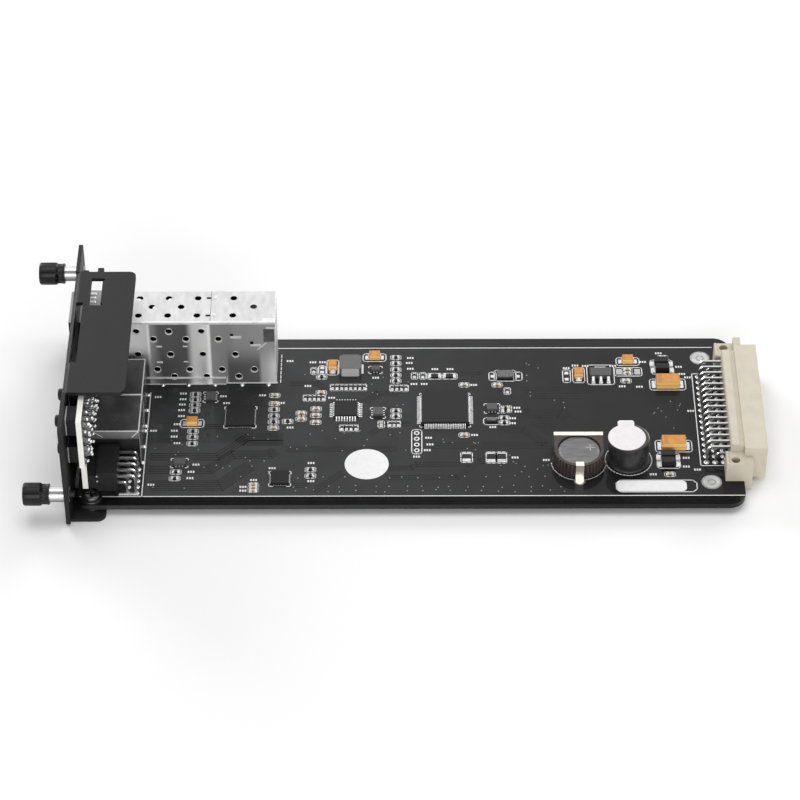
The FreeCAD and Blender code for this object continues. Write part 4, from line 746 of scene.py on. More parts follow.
# %% [markdown]
# Tantalum capacitors are moulded in two halves, so their sides lean out to a parting line and in again, and
# a darker bar marks one end. Diodes are moulded the same way, with a flat tab at each end. Each body is a
# leaning block and its mirror image on the frame's block. Lattice or Simple Deform would lean a block too,
# but one at a time.

# %% tantalums and diodes
def halves(low, high, lean, cut):
    """A two-part moulding: the upper half narrows upwards and the lower half is its mirror image."""
    middle = (low[:, 2:] + high[:, 2:]) / 2
    upper = bricks(np.column_stack([low[:, :2], middle]), high, cut, lean)
    points, faces = bricks(low, np.column_stack([high[:, :2], middle]), cut, lean)
    points = points.reshape(len(low), -1, 3)
    points[..., 2] = low[:, 2:] + middle - points[..., 2]
    return joined(upper, (points, [group[:, ::-1] for group in faces]))


low, high = TANTALUM_BOXES = blocks_of("tantalum_bodies")
put("tantalum_mouldings", halves(low, high, 0.16, 0.08), "orange_mould", "orange_mould",
    stands_for=["tantalum_bodies"])
_, end = longer_way(low, high)
span = high - low
bar_low = low + end * span * 0.10 + (1 - end) * 0.2
bar_high = low + end * span * 0.26 + (1 - end) * (span - 0.2)
bar_low[:, 2], bar_high[:, 2] = high[:, 2] - 0.05, high[:, 2] + 0.015
put("polarity_bars", bricks(bar_low, bar_high, 0.005), "polarity_bar", "orange_mould")
tinned("tantalum_pads", end_pads(low, high, end, 1.1, 0.5, -0.5))

low, high = DIODE_BOXES = blocks_of("diode_bodies")
put("diode_mouldings", halves(low, high, 0.14, 0.08), "chip_black", "chip_black", stands_for=["diode_bodies"])
tab_y = (low[:, 1] + high[:, 1]) / 2 - 0.75
tabs = np.concatenate([np.column_stack([x, tab_y]) for x in (low[:, 0] - 0.75, high[:, 0] - 0.1)])
tinned("diode_tabs", plates(tabs, tabs + [0.85, 1.5], 0.32, 0.05, 0.02))
tinned("diode_pads", plates(tabs - [0.35, 0.3], tabs + [1.2, 1.8], PAD_TOP, 0.04))
bars = np.column_stack([low[:, 0] + 0.35, low[:, 1] + 0.2, high[:, 2] - 0.05])
put("diode_bars", bricks(bars, bars + [0.45, 2.2, 0.065], 0.005), "mask_on_copper", "chip_black")


# %% [markdown]
# Small packages have bent strip leads along two edges. Crystals are metal lids on a dark base, and leadless
# chips show only a row of plated pads along each edge. How many leads there are follows from a package's
# size and their pitch, so the rows are worked out and not typed in.

# %% small packages, crystals and leadless chips
def spread(count, pitch):
    """Evenly spaced places about zero."""
    return (np.arange(count) - (count - 1) / 2) * pitch


def edge_feet(low, high, pitch, width, reach, height, tuck=0.15):
    """Feet along both longer edges of packages: as many as fit at the pitch, spread about the middle."""
    lows, highs = [], []
    for a, b in zip(low, high):
        across = 0 if b[1] - a[1] >= b[0] - a[0] else 1
        long = 1 - across
        count = max(2, int((b[long] - a[long]) // pitch))
        size = np.zeros(3)
        size[long], size[across], size[2] = width, reach + tuck, height
        for start in (a[across] - reach, b[across] - tuck):
            foot = np.zeros((count, 3))
            foot[:, long] = (a[long] + b[long]) / 2 + spread(count, pitch) - width / 2
            foot[:, across] = start
            lows.append(foot)
            highs.append(foot + size)
    return np.concatenate(lows), np.concatenate(highs)


def edge_pads(centre, out, count, pitch, half, top, cut):
    """Pads along the four sides of a square: two rows at a distance out, and both turned by a quarter."""
    spots, edge = spread(count, pitch), np.full(count, out)
    rows = ((spots, -edge), (spots, edge), (-edge, spots), (edge, spots))
    spot = np.concatenate([np.column_stack(row) for row in rows]) + centre
    size = np.repeat([half, half[::-1]], 2 * count, axis=0)
    return plates(spot - size, spot + size, top, cut)


low, high = PACKAGE_BOXES = blocks_of("small_packages")
put("package_mouldings", halves(low, high, 0.08, 0.05), "package_grey", "chip_black",
    stands_for=["small_packages"])
tinned("package_leads", bricks(*edge_feet(low, high, 0.95, 0.38, 0.55, 0.22), 0.05))

low, high = CRYSTAL_BOXES = blocks_of("crystals")
lids = bricks(low + [0.15, 0.15, 0.35], high - [0.15, 0.15, 0], 0.12)
put("crystal_lids", lids, "crystal_lid", "bright_steel", stands_for=["crystals"])
put("crystal_bases", bricks(low, high * [1, 1, 0] + [0, 0, 0.4], 0.06), "chip_black", "chip_black")

low, high = LEADLESS_BOXES = blocks_of("leadless_chips")
put("leadless_mouldings", bricks(low + [0, 0, 0.06], high, 0.06, 0.02), "chip_black", "chip_black",
    stands_for=["leadless_chips"])
for number, (a, b) in enumerate(zip(low, high)):
    width = b[0] - a[0]
    pads = edge_pads((a + b)[:2] / 2, width / 2, int((width - 1.2) / 0.5), 0.5, (0.13, 0.32), 0.14, 0.03)
    tinned(f"leadless_pads_{number}", pads)


# %% [markdown]
# ## The two leaded chips
# Each side of a quad flat package carries a comb of gull-wing leads, stamped from one sheet and bent twice:
# out of the body, down, and flat onto the pad. The bend is one profile, and every lead is that profile
# given a width. A round dimple by one corner shows where the numbering starts.

# %% gull-wing leads and quad bodies
def gull_wings(centre, half, reach, knee, pitch, count, width, thick=0.13):
    """A bent strip, as outward distance and height, is given a width and turned by quarters into four combs."""
    top = np.array([
        (half - 0.1, knee), (half + 0.14, knee), (half + 0.30, knee - 0.06), (reach - 0.62, 0.24),
        (reach - 0.5, 0.15), (reach, thick),
    ])
    profile = np.concatenate([top, top[::-1] - [0.0, thick]])
    k = len(profile)
    lead = np.zeros((count, 2, k, 3))
    lead[..., 0] = profile[:, 0]
    lead[..., 1] = spread(count, pitch)[:, None, None] + np.array([[-width / 2], [width / 2]])
    lead[..., 2] = profile[:, 1]
    combs = np.stack([lead] * 4)
    quarter = np.array([[0, -1], [1, 0]])
    for turn in range(4):
        combs[turn, ..., :2] = lead[..., :2] @ np.linalg.matrix_power(quarter, turn).T + centre
    here = np.arange(k)
    after = (here + 1) % k
    wall = np.stack([here, here + k, after + k, after], -1)
    caps = np.stack([here, here[::-1] + k])
    step = 2 * k * np.arange(4 * count)[:, None, None]
    return combs, [(wall + step).reshape(-1, 4), (caps + step).reshape(-1, k)]


PROCESSOR = np.array([110.3, 4.2])
QUADS = {
    "processor": (PROCESSOR, 7.0, 8.0, 1.5, 0.5, 25, 0.22),
    "driver": (np.array([80.6, 4.2]), 3.5, 4.5, 1.2, 0.8, 8, 0.36),
}
for name, (centre, half, reach, height, pitch, count, width) in QUADS.items():
    body = halves(np.array([[*(centre - half), 0.1]]), np.array([[*(centre + half), height]]), 0.10, 0.12)
    put(f"{name}_moulding", body, "chip_black", "chip_black", stands_for=[f"{name}_body"])
    combs = gull_wings(centre, half, reach, height / 2 + 0.1, pitch, count, width)
    tinned(f"{name}_combs", combs, stands_for=[f"{name}_leads"])
    pads = edge_pads(centre, reach - 0.15, count, pitch, (width / 2 + 0.03, 0.55), 0.05, 0.015)
    tinned(f"{name}_pads", pads)
    sunk, rim = height - 0.06, height + 0.004
    dent = [(sunk, 0.02), (sunk, 0.42), (rim, 0.5), (rim, 0.56)]
    dimple = turned(dent, (*(centre - half + 1.3), 0), "z", 28, capped=False)
    put(f"{name}_dimple", dimple, "mask_on_copper", "chip_black")


# %% [markdown]
# ## Print and copper on the board
# White ink is screened on last: rails along both long edges, a frame round every part, and corner marks. A
# drawn image could carry it, but low bars of ink keep their edges from close by and catch a little light.

# %% lines, rings and frames in white ink
CELL, CLIP, SOUNDER = (149.5, -18.6), (149.5, -27.0), (164.2, -17.8)


def path(*points):
    """The straight lines that join points in order."""
    points = np.asarray(points, float)
    return np.column_stack([points[:-1], points[1:]])


def strips(lines, width, height, z=0.0):
    """Low bars along lines x0, y0, x1, y1: each end moves half a width on and half a width to each side."""
    lines = np.asarray(lines, float).reshape(-1, 4)
    start, end = lines[:, :2], lines[:, 2:]
    run = end - start
    on = run / np.linalg.norm(run, axis=1, keepdims=True) * width / 2
    aside = np.column_stack([-on[:, 1], on[:, 0]])
    plan = np.stack([start - on - aside, end + on - aside, end + on + aside, start - on + aside], 1)
    levels = [np.concatenate([plan, np.full((len(lines), 4, 1), level)], -1) for level in (z, z + height)]
    box = np.array([[4, 5, 6, 7], [0, 1, 5, 4], [1, 2, 6, 5], [2, 3, 7, 6], [3, 0, 4, 7]])
    return np.concatenate(levels, 1), [(box + 8 * np.arange(len(lines))[:, None, None]).reshape(-1, 4)]


def ring_lines(x, y, radius, start=0.0, stop=360.0, steps=40):
    """An arc as short straight lines between evenly spaced angles."""
    angle = np.radians(np.linspace(start, stop, steps + 1))
    return path(*np.column_stack([x + radius * np.cos(angle), y + radius * np.sin(angle)]))


def frame_lines(x0, y0, x1, y1, c=0.6):
    """A rectangle with cut corners."""
    return path((x0 + c, y0), (x1 - c, y0), (x1, y0 + c), (x1, y1 - c), (x1 - c, y1), (x0 + c, y1),
                (x0, y1 - c), (x0, y0 + c), (x0 + c, y0))


def boxed(low, high, out, past=0.0):
    """A frame with cut corners round each box, a set distance out and further out past its ends."""
    low, high = low - past - out, high + past + out
    return np.concatenate([frame_lines(*a[:2], *b[:2]) for a, b in zip(low, high)])


def corner_marks(low, high, out, arm):
    """Two short lines at each corner of a box, a set distance out."""
    lines = []
    for a, b in zip(low, high):
        for x, sx in ((a[0] - out, arm), (b[0] + out, -arm)):
            for y, sy in ((a[1] - out, arm), (b[1] + out, -arm)):
                lines += [(x, y, x + sx, y), (x, y, x, y + sy)]
    return np.array(lines)


dashes = np.arange(17.0, 30.0, 1.9)
beyond_ends = longer_way(*TANTALUM_BOXES)[1] * 1.35
PRINT_LINES += [
    path((3.6, -33.2), (197.3, -33.2)), path((22.0, 32.7), (192.2, 32.7)), path((21.5, 12.4), (21.5, -33.2)),
    path((193.0, 20.5), (185.4, 20.5), (185.4, -20.5), (193.0, -20.5)),
    np.column_stack([0 * dashes + 60.6, dashes, 0 * dashes + 60.6, dashes + 1.2]),
    corner_marks(*LEADLESS_BOXES, 0.5, 1.1), corner_marks(*PACKAGE_BOXES, 0.75, 0.7),
    boxed(*CRYSTAL_BOXES, 0.8), boxed(*DIODE_BOXES, 0.45, np.array([0.8, 0, 0])),
    corner_marks([PROCESSOR - 7.4], [PROCESSOR + 7.4], 0.2, 0.6),
    ring_lines(*SOUNDER, 6.9), ring_lines(*CELL, 8.1, 185, 355), ring_lines(*CLIP, 1.5, steps=24),
    frame_lines(100.3, -15.1, 103.3, -4.5), frame_lines(160.1, -31.7, 183.7, -26.7, 1.2),
    frame_lines(153.6, 15.6, 161.8, 24.6), frame_lines(123.8, 17.6, 126.0, 21.4, 0.4),
    frame_lines(131.2, 17.6, 133.8, 21.4, 0.4), frame_lines(146.2, 16.6, 148.5, 22.4, 0.4),
    frame_lines(72.0, 20.6, 74.2, 24.6, 0.4), frame_lines(162.0, 19.5, 170.3, 23.4, 0.5),
    boxed(*TANTALUM_BOXES, 0.4, beyond_ends),
]
put("print_lines", strips(np.concatenate(PRINT_LINES), 0.28, 0.03), "white_print", "board_mask", smooth=0)

# %% [markdown]
# Short white dashes stand beside many parts, and a darker band runs along the near edge. A dash is three small
# plates in a row. The band could be a mask in the board's finish, but as a thin outline pushed up by a hair it
# follows the board's rounded corner.

# %% dashes beside the parts, and the band along the near edge
MARKS = np.array([
    (31.4, 12.0), (31.4, 9.4), (31.3, 7.0), (31.2, 4.5), (31.3, 1.8), (30.2, -1.8), (29.5, -4.7),
    (29.6, -7.3), (30.6, -10.2), (43.5, 10.7), (23.8, 10.4), (23.3, -4.7), (23.9, -28.2), (36.7, -19.6),
    (35.4, -22.7), (35.2, -25.4), (50.9, -29.2), (50.9, -30.8), (53.9, -26.3), (44.6, 7.6), (55.3, 11.1),
    (61.1, 7.6), (59.2, -21.2), (70.2, 26.2), (73.1, 26.2), (63.2, 26.8), (68.9, 15.3), (64.0, -3.4),
    (70.6, -19.0), (70.7, -26.8), (89.4, 19.0), (99.9, 28.1), (99.6, 25.8), (99.9, 23.1), (101.0, 16.1),
    (104.1, 16.1), (107.4, 22.9), (112.0, 22.9), (119.1, 15.6), (131.9, 5.2), (132.2, 3.5), (130.5, 0.5),
    (130.4, -1.7), (124.5, -3.4), (119.0, -6.9), (130.8, -16.8), (105.3, -8.1), (105.7, -11.0), (104.9, -13.5),
    (101.7, -16.3), (76.2, 9.9), (147.4, 23.2), (150.1, 24.4), (153.2, 24.2), (161.6, 24.2), (170.8, 26.0),
    (164.0, 14.8), (175.8, 30.0), (181.6, 23.7), (182.4, 20.4), (184.0, 18.8), (169.2, 14.6), (181.3, -17.1),
    (181.1, -20.9), (171.2, -24.2), (140.0, -17.9), (184.3, -22.2), (184.0, 3.6),
])
marks = (MARKS[:, None] + [(-0.75, 0.0), (0.0, 0.0), (0.75, 0.0)]).reshape(-1, 2)
half = np.array([0.24, 0.42])
put("print_marks", plates(marks - half, marks + half, 0.025, 0.01), "white_print", "board_mask", smooth=0)


def prism(outline, low, high, axis="z"):
    """A flat outline pushed from one station to another: two end faces and one side face per edge."""
    here = np.arange(len(outline))
    after = np.roll(here, -1)
    ends = [np.column_stack([outline, 0 * here + level]) for level in (low, high)]
    sides = np.stack([here, after, after + len(here), here + len(here)], -1)
    points = np.roll(np.concatenate(ends), AXIS_TURN[axis], axis=1)
    return points, [sides, here[None, ::-1], here[None] + len(here)]


angle = np.radians(np.linspace(270, 312, 8))
rounding = np.column_stack([192.7 + 4.95 * np.cos(angle), -32.0 + 4.95 * np.sin(angle)])
band = np.vstack([(2.75, -36.95), rounding, (195.9, -33.4), (2.75, -33.4)])
put("edge_band", prism(band, 0.0, 0.012), "edge_mask", "board_mask", smooth=0)


# %% [markdown]
# Copper runs under the lacquer and shows as slightly raised, slightly darker lines, in bundles that turn by
# 45 degrees. Only one line of a bundle is written down, and the others are worked out beside it. Bright
# dots are vias, holes plated through. Their places are drawn at random from a fixed seed, so that each run
# gives the same board.

# %% copper runs and vias
def bundle(points, count, step):
    """A path repeated side by side. A corner moves along the sum of its two sides' normals, over one plus their
    dot product, which keeps the spacing even through a turn."""
    points = np.asarray(points, float)
    run = np.diff(points, axis=0)
    across = np.column_stack([-run[:, 1], run[:, 0]]) / np.linalg.norm(run, axis=1)[:, None]
    side = np.concatenate([across[:1], across[:-1] + across[1:], across[-1:]])
    side[1:-1] /= (1 + (across[:-1] * across[1:]).sum(1))[:, None]
    return np.concatenate([path(*(points + side * step * k)) for k in range(count)])


RUNS = [
    ([(23.0, -17.5), (43.5, -17.5), (52.0, -9.0), (62.0, -9.0)], 4, 0.9),
    ([(23.0, -23.4), (41.5, -23.4), (48.0, -16.9), (59.0, -16.9), (61.0, -14.9)], 5, 0.8),
    ([(24.0, -30.6), (45.0, -30.6), (54.0, -21.6)], 6, 0.8),
    ([(47.0, -7.6), (50.5, -11.1), (62.0, -11.1)], 4, 0.7),
    ([(72.5, -31.8), (80.5, -23.8)], 3, 0.9),
    ([(63.0, -13.8), (96.0, -13.8)], 3, 0.9),
    ([(93.5, -22.0), (100.5, -22.0), (102.0, -20.5), (117.5, -20.5)], 3, 0.8),
    ([(93.0, -26.2), (114.0, -26.2), (121.0, -19.2), (123.5, -19.2)], 3, 0.9),
    ([(106.0, -12.6), (143.0, -12.6)], 3, 1.1),
    ([(126.0, -5.6), (133.0, -5.6), (139.0, -11.6)], 4, 0.8),
    ([(133.5, 9.5), (152.0, 9.5)], 5, 1.2),
    ([(136.0, -2.0), (141.0, -7.0)], 6, 0.8),
    ([(112.5, 20.4), (121.0, 20.4), (122.5, 21.9)], 2, 1.0),
    ([(87.0, 7.2), (90.5, 10.7), (96.0, 10.7)], 4, 0.7),
    ([(63.5, 15.6), (71.5, 15.6), (74.0, 13.1)], 3, 0.8),
    ([(88.5, -7.0), (93.0, -2.5), (100.0, -2.5)], 3, 0.8),
    ([(152.0, 12.5), (172.0, 12.5)], 3, 1.3),
    ([(64.0, -29.5), (70.0, -29.5)], 3, 0.9),
    ([(134.0, 1.0), (144.0, 1.0), (147.0, -2.0)], 5, 0.9),
    ([(49.0, 1.5), (45.5, -2.0), (36.0, -2.0)], 3, 0.8),
]
copper = np.concatenate([bundle(*run) for run in RUNS])
put("copper_runs", strips(copper, 0.34, 0.018), "mask_on_copper", "board_mask", smooth=0)

VIA_FIELDS = [
    (24, 60, -31, -6, 26), (62, 100, -14, -4, 16), (88, 100, 0, 20, 10), (108, 122, -14, -8, 8),
    (126, 146, -24, -14, 14), (134, 150, 0, 28, 10), (172, 184, -12, 8, 12), (66, 76, 18, 24, 6),
]
scatter = np.random.default_rng(7)
row = np.arange(66.0, 146.0, 4.6)


def strewn(x_low, x_high, y_low, y_high, count):
    """Random places in a rectangle of the board: every x first, then every y."""
    x, y = scatter.uniform(x_low, x_high, count), scatter.uniform(y_low, y_high, count)
    return np.column_stack([x, y, 0 * x])


in_rows = [
    strewn(-1.2, 1.2, level - 0.5, level + 0.5, len(row)) + row[:, None] * [1, 0, 0]
    for level in (-31.0, -29.2, -25.0)
]
vias = np.concatenate(in_rows + [strewn(*field) for field in VIA_FIELDS])
dot = [(0.0, 0.2), (0.03, 0.2), (0.035, 0.1)]
put("vias", turned(dot, vias, "z", 10), "via_tin", "board_mask", smooth=0)

# %% [markdown]
# ## Plated holes, pins and solder
# Pins pass through plated holes and a wave of molten solder climbs them from below, leaving a cone on each
# side. The connector's pins leave its back in three levels and bend down to three rows, the highest to the
# farthest row. One bend is a quarter circle between two straight runs, swept with a square section.

# %% bent pins
PITCH, PIN_FOOT = 2.54, -2.8
ROWS, LEVELS, COLUMNS = (187.2, 189.74, 192.28), (6.18, 3.64, 1.1), spread(16, PITCH)
SOCKET_ROWS, SOCKET_LEVELS, SOCKET_COLUMNS = (17.3, 19.84), (4.33, 6.87), -26.65 + spread(5, PITCH)


def bent_pins(start, x, level, ys, radius, half=0.3):
    """Sweeps a square section along a level run, a quarter bend and a drop, once for every y."""
    sign = 1.0 if start > x else -1.0
    radius = min(radius, level - 0.2, abs(start - x) - 0.1)
    angle = np.linspace(0, np.pi / 2, 7)
    bend = np.column_stack([x + sign * radius * (1 - np.sin(angle)), level - radius * (1 - np.cos(angle))])
    line = np.concatenate([[(start, level)], bend, [(x, PIN_FOOT)]])
    turning = np.column_stack([-sign * np.sin(angle), np.cos(angle)])
    normal = np.concatenate([[(0.0, 1.0)], turning, [(-sign, 0.0)]])
    outer, inner = line + normal * half, line - normal * half
    section = np.stack([outer, outer, inner, inner], 1)
    points = np.empty((len(ys), len(line), 4, 3))
    points[..., [0, 2]] = section
    points[..., 1] = ys[:, None, None] + np.array([-half, half, half, -half])
    last = 4 * len(line)
    quads = ring_quads(len(line), 4)
    ends = [[0, 1, 2, 3], [last - 1, last - 2, last - 3, last - 4]]
    quads = np.concatenate([quads[:, ::-1] if sign > 0 else quads, ends])
    return points, [(quads + last * np.arange(len(ys))[:, None, None]).reshape(-1, 4)]


pins = [bent_pins(203.0, x, level, COLUMNS, 1.6) for x, level in zip(ROWS, LEVELS)]
put("connector_pins", joined(*pins), "pin_tin", "bright_steel", stands_for=["backplane_pins"], smooth=40)
pins = [bent_pins(14.7, x, level, SOCKET_COLUMNS, 1.4) for x, level in zip(SOCKET_ROWS, SOCKET_LEVELS)]
put("socket_bent_pins", joined(*pins), "pin_tin", "bright_steel", stands_for=["keypad_socket_pins"],
    smooth=40)

# %% [markdown]
# Solder, plated rings and lands are round, so each is a short profile turned about every hole at once. A
# metaball could flow round a pin, but a profile gives the same hollow cone with a few dozen faces.

# %% solder, rings and lands
grids = ((ROWS, COLUMNS), (SOCKET_ROWS, SOCKET_COLUMNS))
joints = np.array([(x, y, 0) for xs, ys in grids for y in ys for x in xs])
ABOVE = [(0.0, 0.84), (0.04, 0.84), (0.12, 0.66), (0.35, 0.5), (0.7, 0.42), (0.75, 0.05)]
BELOW = [(-3.0, 0.05), (-2.95, 0.3), (-2.4, 0.42), (-1.95, 0.56), (-1.66, 0.84), (-1.6, 0.84)]
cones = [turned(profile, joints, "z", 14) for profile in (ABOVE, BELOW)]
tinned("pin_solder", joined(*cones), smooth=50)
test_holes = [(101.8, -13.6 + PITCH * k, 0.0) for k in range(4)]
rings = [turned([(z, 0.42), (z + 0.05, 0.44), (z + 0.05, 0.86), (z, 0.88)], test_holes, "z", 24, capped=False)
         for z in (0.0, -1.65)]
tinned("test_rings", joined(*rings))
LANDS = [(188.3, 27.7, 0.0), (188.1, -27.6, 0.0)]
land = turned([(0.0, 3.0), (0.05, 3.0), (0.06, 1.75), (0.02, 1.7), (0.02, 0.02)], LANDS, "z", 48)
under = turned([(-1.62, 0.02), (-1.65, 2.9), (-1.6, 3.0)], LANDS, "z", 48)
put("earth_lands", joined(land, under), "land_tin", "bright_steel")
rims = turned([(0.05, 2.5), (0.08, 2.56), (0.08, 2.94), (0.05, 2.98)], LANDS, "z", 48, capped=False)
eyes = turned([(0.02, 0.9), (0.05, 0.95), (0.05, 1.25), (0.02, 1.3)], LANDS, "z", 32, capped=False)
put("land_rings", joined(rims, eyes), "via_tin", "bright_steel")
land = turned([(0.0, 3.15), (0.04, 3.12), (0.05, 2.9), (0.05, 2.6)], FIXINGS, "z", 48)
put("screw_lands", land, "mask_on_copper", "board_mask")

# %% [markdown]
# ## Cell, sounder, coil and regulator
# The coin cell is pressed from two cups, so its lid has a rounded shoulder and a slightly sunk face. Its
# holder is moulded with grip ribs round the front. The sounder is a drawn can with a rolled foot under a
# paper seal. All of them are turned profiles, which keeps every rim truly round.

# %% round parts and their ribs
COIN = [
    (2.5, 0.02), (2.5, 5.5), (2.65, 5.95), (3.0, 6.2), (4.2, 6.25), (4.42, 6.2), (4.5, 6.05), (4.5, 5.7),
    (4.45, 5.62), (4.45, 0.02),
]
CAN = [
    (0.0, 0.02), (0.0, 6.15), (0.25, 6.25), (0.5, 6.15), (0.6, 6.0), (8.5, 6.0), (8.8, 5.93), (8.95, 5.75),
    (9.0, 5.5), (9.0, 0.02),
]
put("pressed_cell", turned(COIN, (*CELL, 0), "z", 96), "cell_steel", "bright_steel", stands_for=["coin_cell"])
plus = [(151.6, -17.4, 154.0, -17.4), (152.8, -18.6, 152.8, -16.2)]
put("cell_plus", strips(plus, 0.22, 0.03, 4.45), "land_tin", "bright_steel", smooth=0)
angle = np.radians(np.linspace(186, 354, 19))
ribs = np.column_stack([CELL[0] + 7.2 * np.cos(angle), CELL[1] + 7.2 * np.sin(angle), 0 * angle])
ribs = ribs[np.abs(ribs[:, 0] - CELL[0]) > 1.4]
ribs = turned([(0.0, 0.42), (4.4, 0.42), (4.8, 0.2)], ribs, "z", 10)
put("holder_ribs", ribs, "brown_plastic", "brown_plastic")
put("drawn_can", turned(CAN, (*SOUNDER, 0), "z", 80), "sounder_black", "black_plastic",
    stands_for=["sounder_can"])
angle = np.radians(np.linspace(116, 424, 60))
tab = [(2.45, 6.2), (2.4, 6.9), (1.8, 7.4), (-1.8, 7.4), (-2.4, 6.9), (-2.45, 6.2)]
seal = np.vstack([5.5 * np.column_stack([np.cos(angle), np.sin(angle)]), tab]) + (163.4, -18.1)
put("paper_seal", prism(seal, 9.0, 9.2), "seal_paper", "white_paper", stands_for=["sounder_seal"], smooth=0)

# %% [markdown]
# Parts that are soldered flat stand on bright pads, and a few places have pads and no part. A pad is a
# plate a tenth of a millimetre high. A mask could paint it, but a raised edge catches the light as tinned
# copper does.

# %% bright pads under the clip, the coil, the regulator and at unfilled places
land = turned([(0.0, 1.3), (0.06, 1.28), (0.1, 0.9), (0.1, 0.02)], (*CLIP, 0), "z", 32)
put("clip_land", land, "gold", "gold")
bare = np.array([(147.35, 18.1), (147.35, 20.9), (73.1, 21.6), (73.1, 23.6), (124.9, 19.5), (132.5, 19.5)])
tinned("bare_pads", plates(bare - 0.6, bare + 0.6, 0.06, 0.02))
wide = np.array([(162.5, 20.2), (168.0, 20.2)])
put("wide_pads", plates(wide, wide + [1.8, 2.5], 0.06, 0.02), "land_tin", "bright_steel")
coil = np.array([(77.7, 20.9), (83.5, 20.9)])
tinned("coil_pads", plates(coil, coil + [2.2, 4.2], 0.1, 0.04))
pads = [(157.7 + shift - 0.6, 16.0, 157.7 + shift + 0.6, 18.0) for shift in (-2.3, 0.0, 2.3)]
pads = np.array(pads + [(156.0, 21.9, 159.4, 23.8)])
tinned("regulator_pads", plates(pads[:, :2], pads[:, 2:], PAD_TOP, 0.04))

# %% [markdown]
# ## The backplane connector
# The beige housing is one moulding. A long rail stands on the rear block and leaves a groove before the
# shroud, and the ear at the far end rises above its flange. The housing itself comes from the frame, so
# only these raised parts and the rims of its two holes are added.

# %% rail, ear and flange rims
put("connector_rails", listed([
    (194.0, -21.2, 8.5, 196.3, 21.2, 9.15), (197.75, 23.25, 6.3, 199.9, 27.1, 9.0),
    (192.3, -27.1, 6.3, 193.0, -21.4, 6.75), (192.3, 21.4, 6.3, 193.0, 27.1, 6.75),
    (204.0, -23.1, 8.6, 204.35, 23.1, 9.35),
], 0.12), "beige_plastic", "beige_plastic")
flange_holes = [(194.95, -25.0, 0.0), (194.95, 25.0, 0.0)]
rims = turned([(6.4, 1.95), (6.48, 1.85), (6.48, 1.35), (6.3, 1.28)], flange_holes, "z", 36, capped=False)
put("flange_rims", rims, "beige_plastic", "beige_plastic")

# %% [markdown]
# ## Jack shields and the module cage
# The shields are folded from thin plated sheet: bright lines run along the folds, and slanting edges show where
# ears are tucked in at the corners. Cutting each of these into the sheet would take many booleans. Thin pieces
# laid on it look the same and stay light; their bright fold finish is a painted highlight, where a bend catches
# the light.

# %% folds, ears and lugs of the jack shields
folds, ears = [], []
for near, far in ((-19.6, -3.6), (-3.5, 12.5)):
    folds += [
        (1.6, near - 0.04, 13.2, 20.64, near + 0.24, 13.46), (20.35, near, 13.2, 20.66, far, 13.46),
        (1.6, far - 0.22, 13.36, 20.6, far + 0.02, 13.46), (20.45, near + 0.2, 0.3, 20.66, near + 0.5, 13.3),
    ]
    for slant in ([(13.3, 20.3), (11.1, 18.3), (10.9, 18.5), (13.1, 20.5)],
                  [(13.3, 7.2), (11.1, 10.0), (10.9, 9.9), (13.0, 7.1)]):
        ears.append(prism(slant, near - 0.06, near + 0.02, "y"))
# painted highlight: the fold lines and ears wear the bright fold finish
put("shield_folds", listed(folds, 0.04), "fold", "mirror_steel")
put("shield_ears", joined(*ears), "fold", "mirror_steel", smooth=0)
lugs = [(20.9, y, 0.0) for y in (-18.6, -11.6, -4.6, -2.5, 4.5, 11.5)]
lugs = turned([(0.0, 0.7), (0.1, 0.66), (0.35, 0.35), (0.4, 0.02)], lugs, "z", 14)
put("shield_lugs", lugs, "tin", "mirror_steel", smooth=50)

# %% [markdown]
# The cage is pressed from the same stock. A vent is pierced and pushed in, which leaves a bright flared rim
# with a sagging lower lip: a turned profile, with the sag as its ripple. Lanced tabs that grip the lower half,
# the rail along the foot and folded edges are thin blocks laid on the sheet, and slots are dark ones. Rims,
# tabs and folded edges wear the bright fold finish as a painted highlight, and the dark slots, gaps and notch
# are painted shade standing for the openings.

# %% vents, tabs and seams of the cage
CAGE_SIDE, CAGE_TOP, CAGE_REAR, VENT_STEP, VENT_ROUND = 16.4, 24.5, 59.5, 9.75, 22
VENT_ROWS = [(41.5, 21.0, 3), (36.5, 18.0, 3), (41.4, 12.0, 4), (35.9, 6.0, 4), (30.9, 3.2, 3)]
vents = [
    (CAGE_REAR - back + VENT_STEP * k, CAGE_SIDE, height)
    for back, height, count in VENT_ROWS for k in range(count)
]
foot = np.clip(-np.cos(np.linspace(0, 2 * np.pi, VENT_ROUND, endpoint=False)), 0, 1)
sag = 0.42 * np.array([[1.0], [1.0], [0.6], [0.0], [0.0]]) * foot
flare = [(-0.02, 1.1), (-0.1, 1.08), (-0.14, 1.02), (-0.1, 0.97), (0.2, 0.96)]
# painted highlight: the vent rims wear the bright fold finish
put("vent_rims", turned(flare, vents, "y", VENT_ROUND, sag, capped=False), "fold", "mirror_steel")
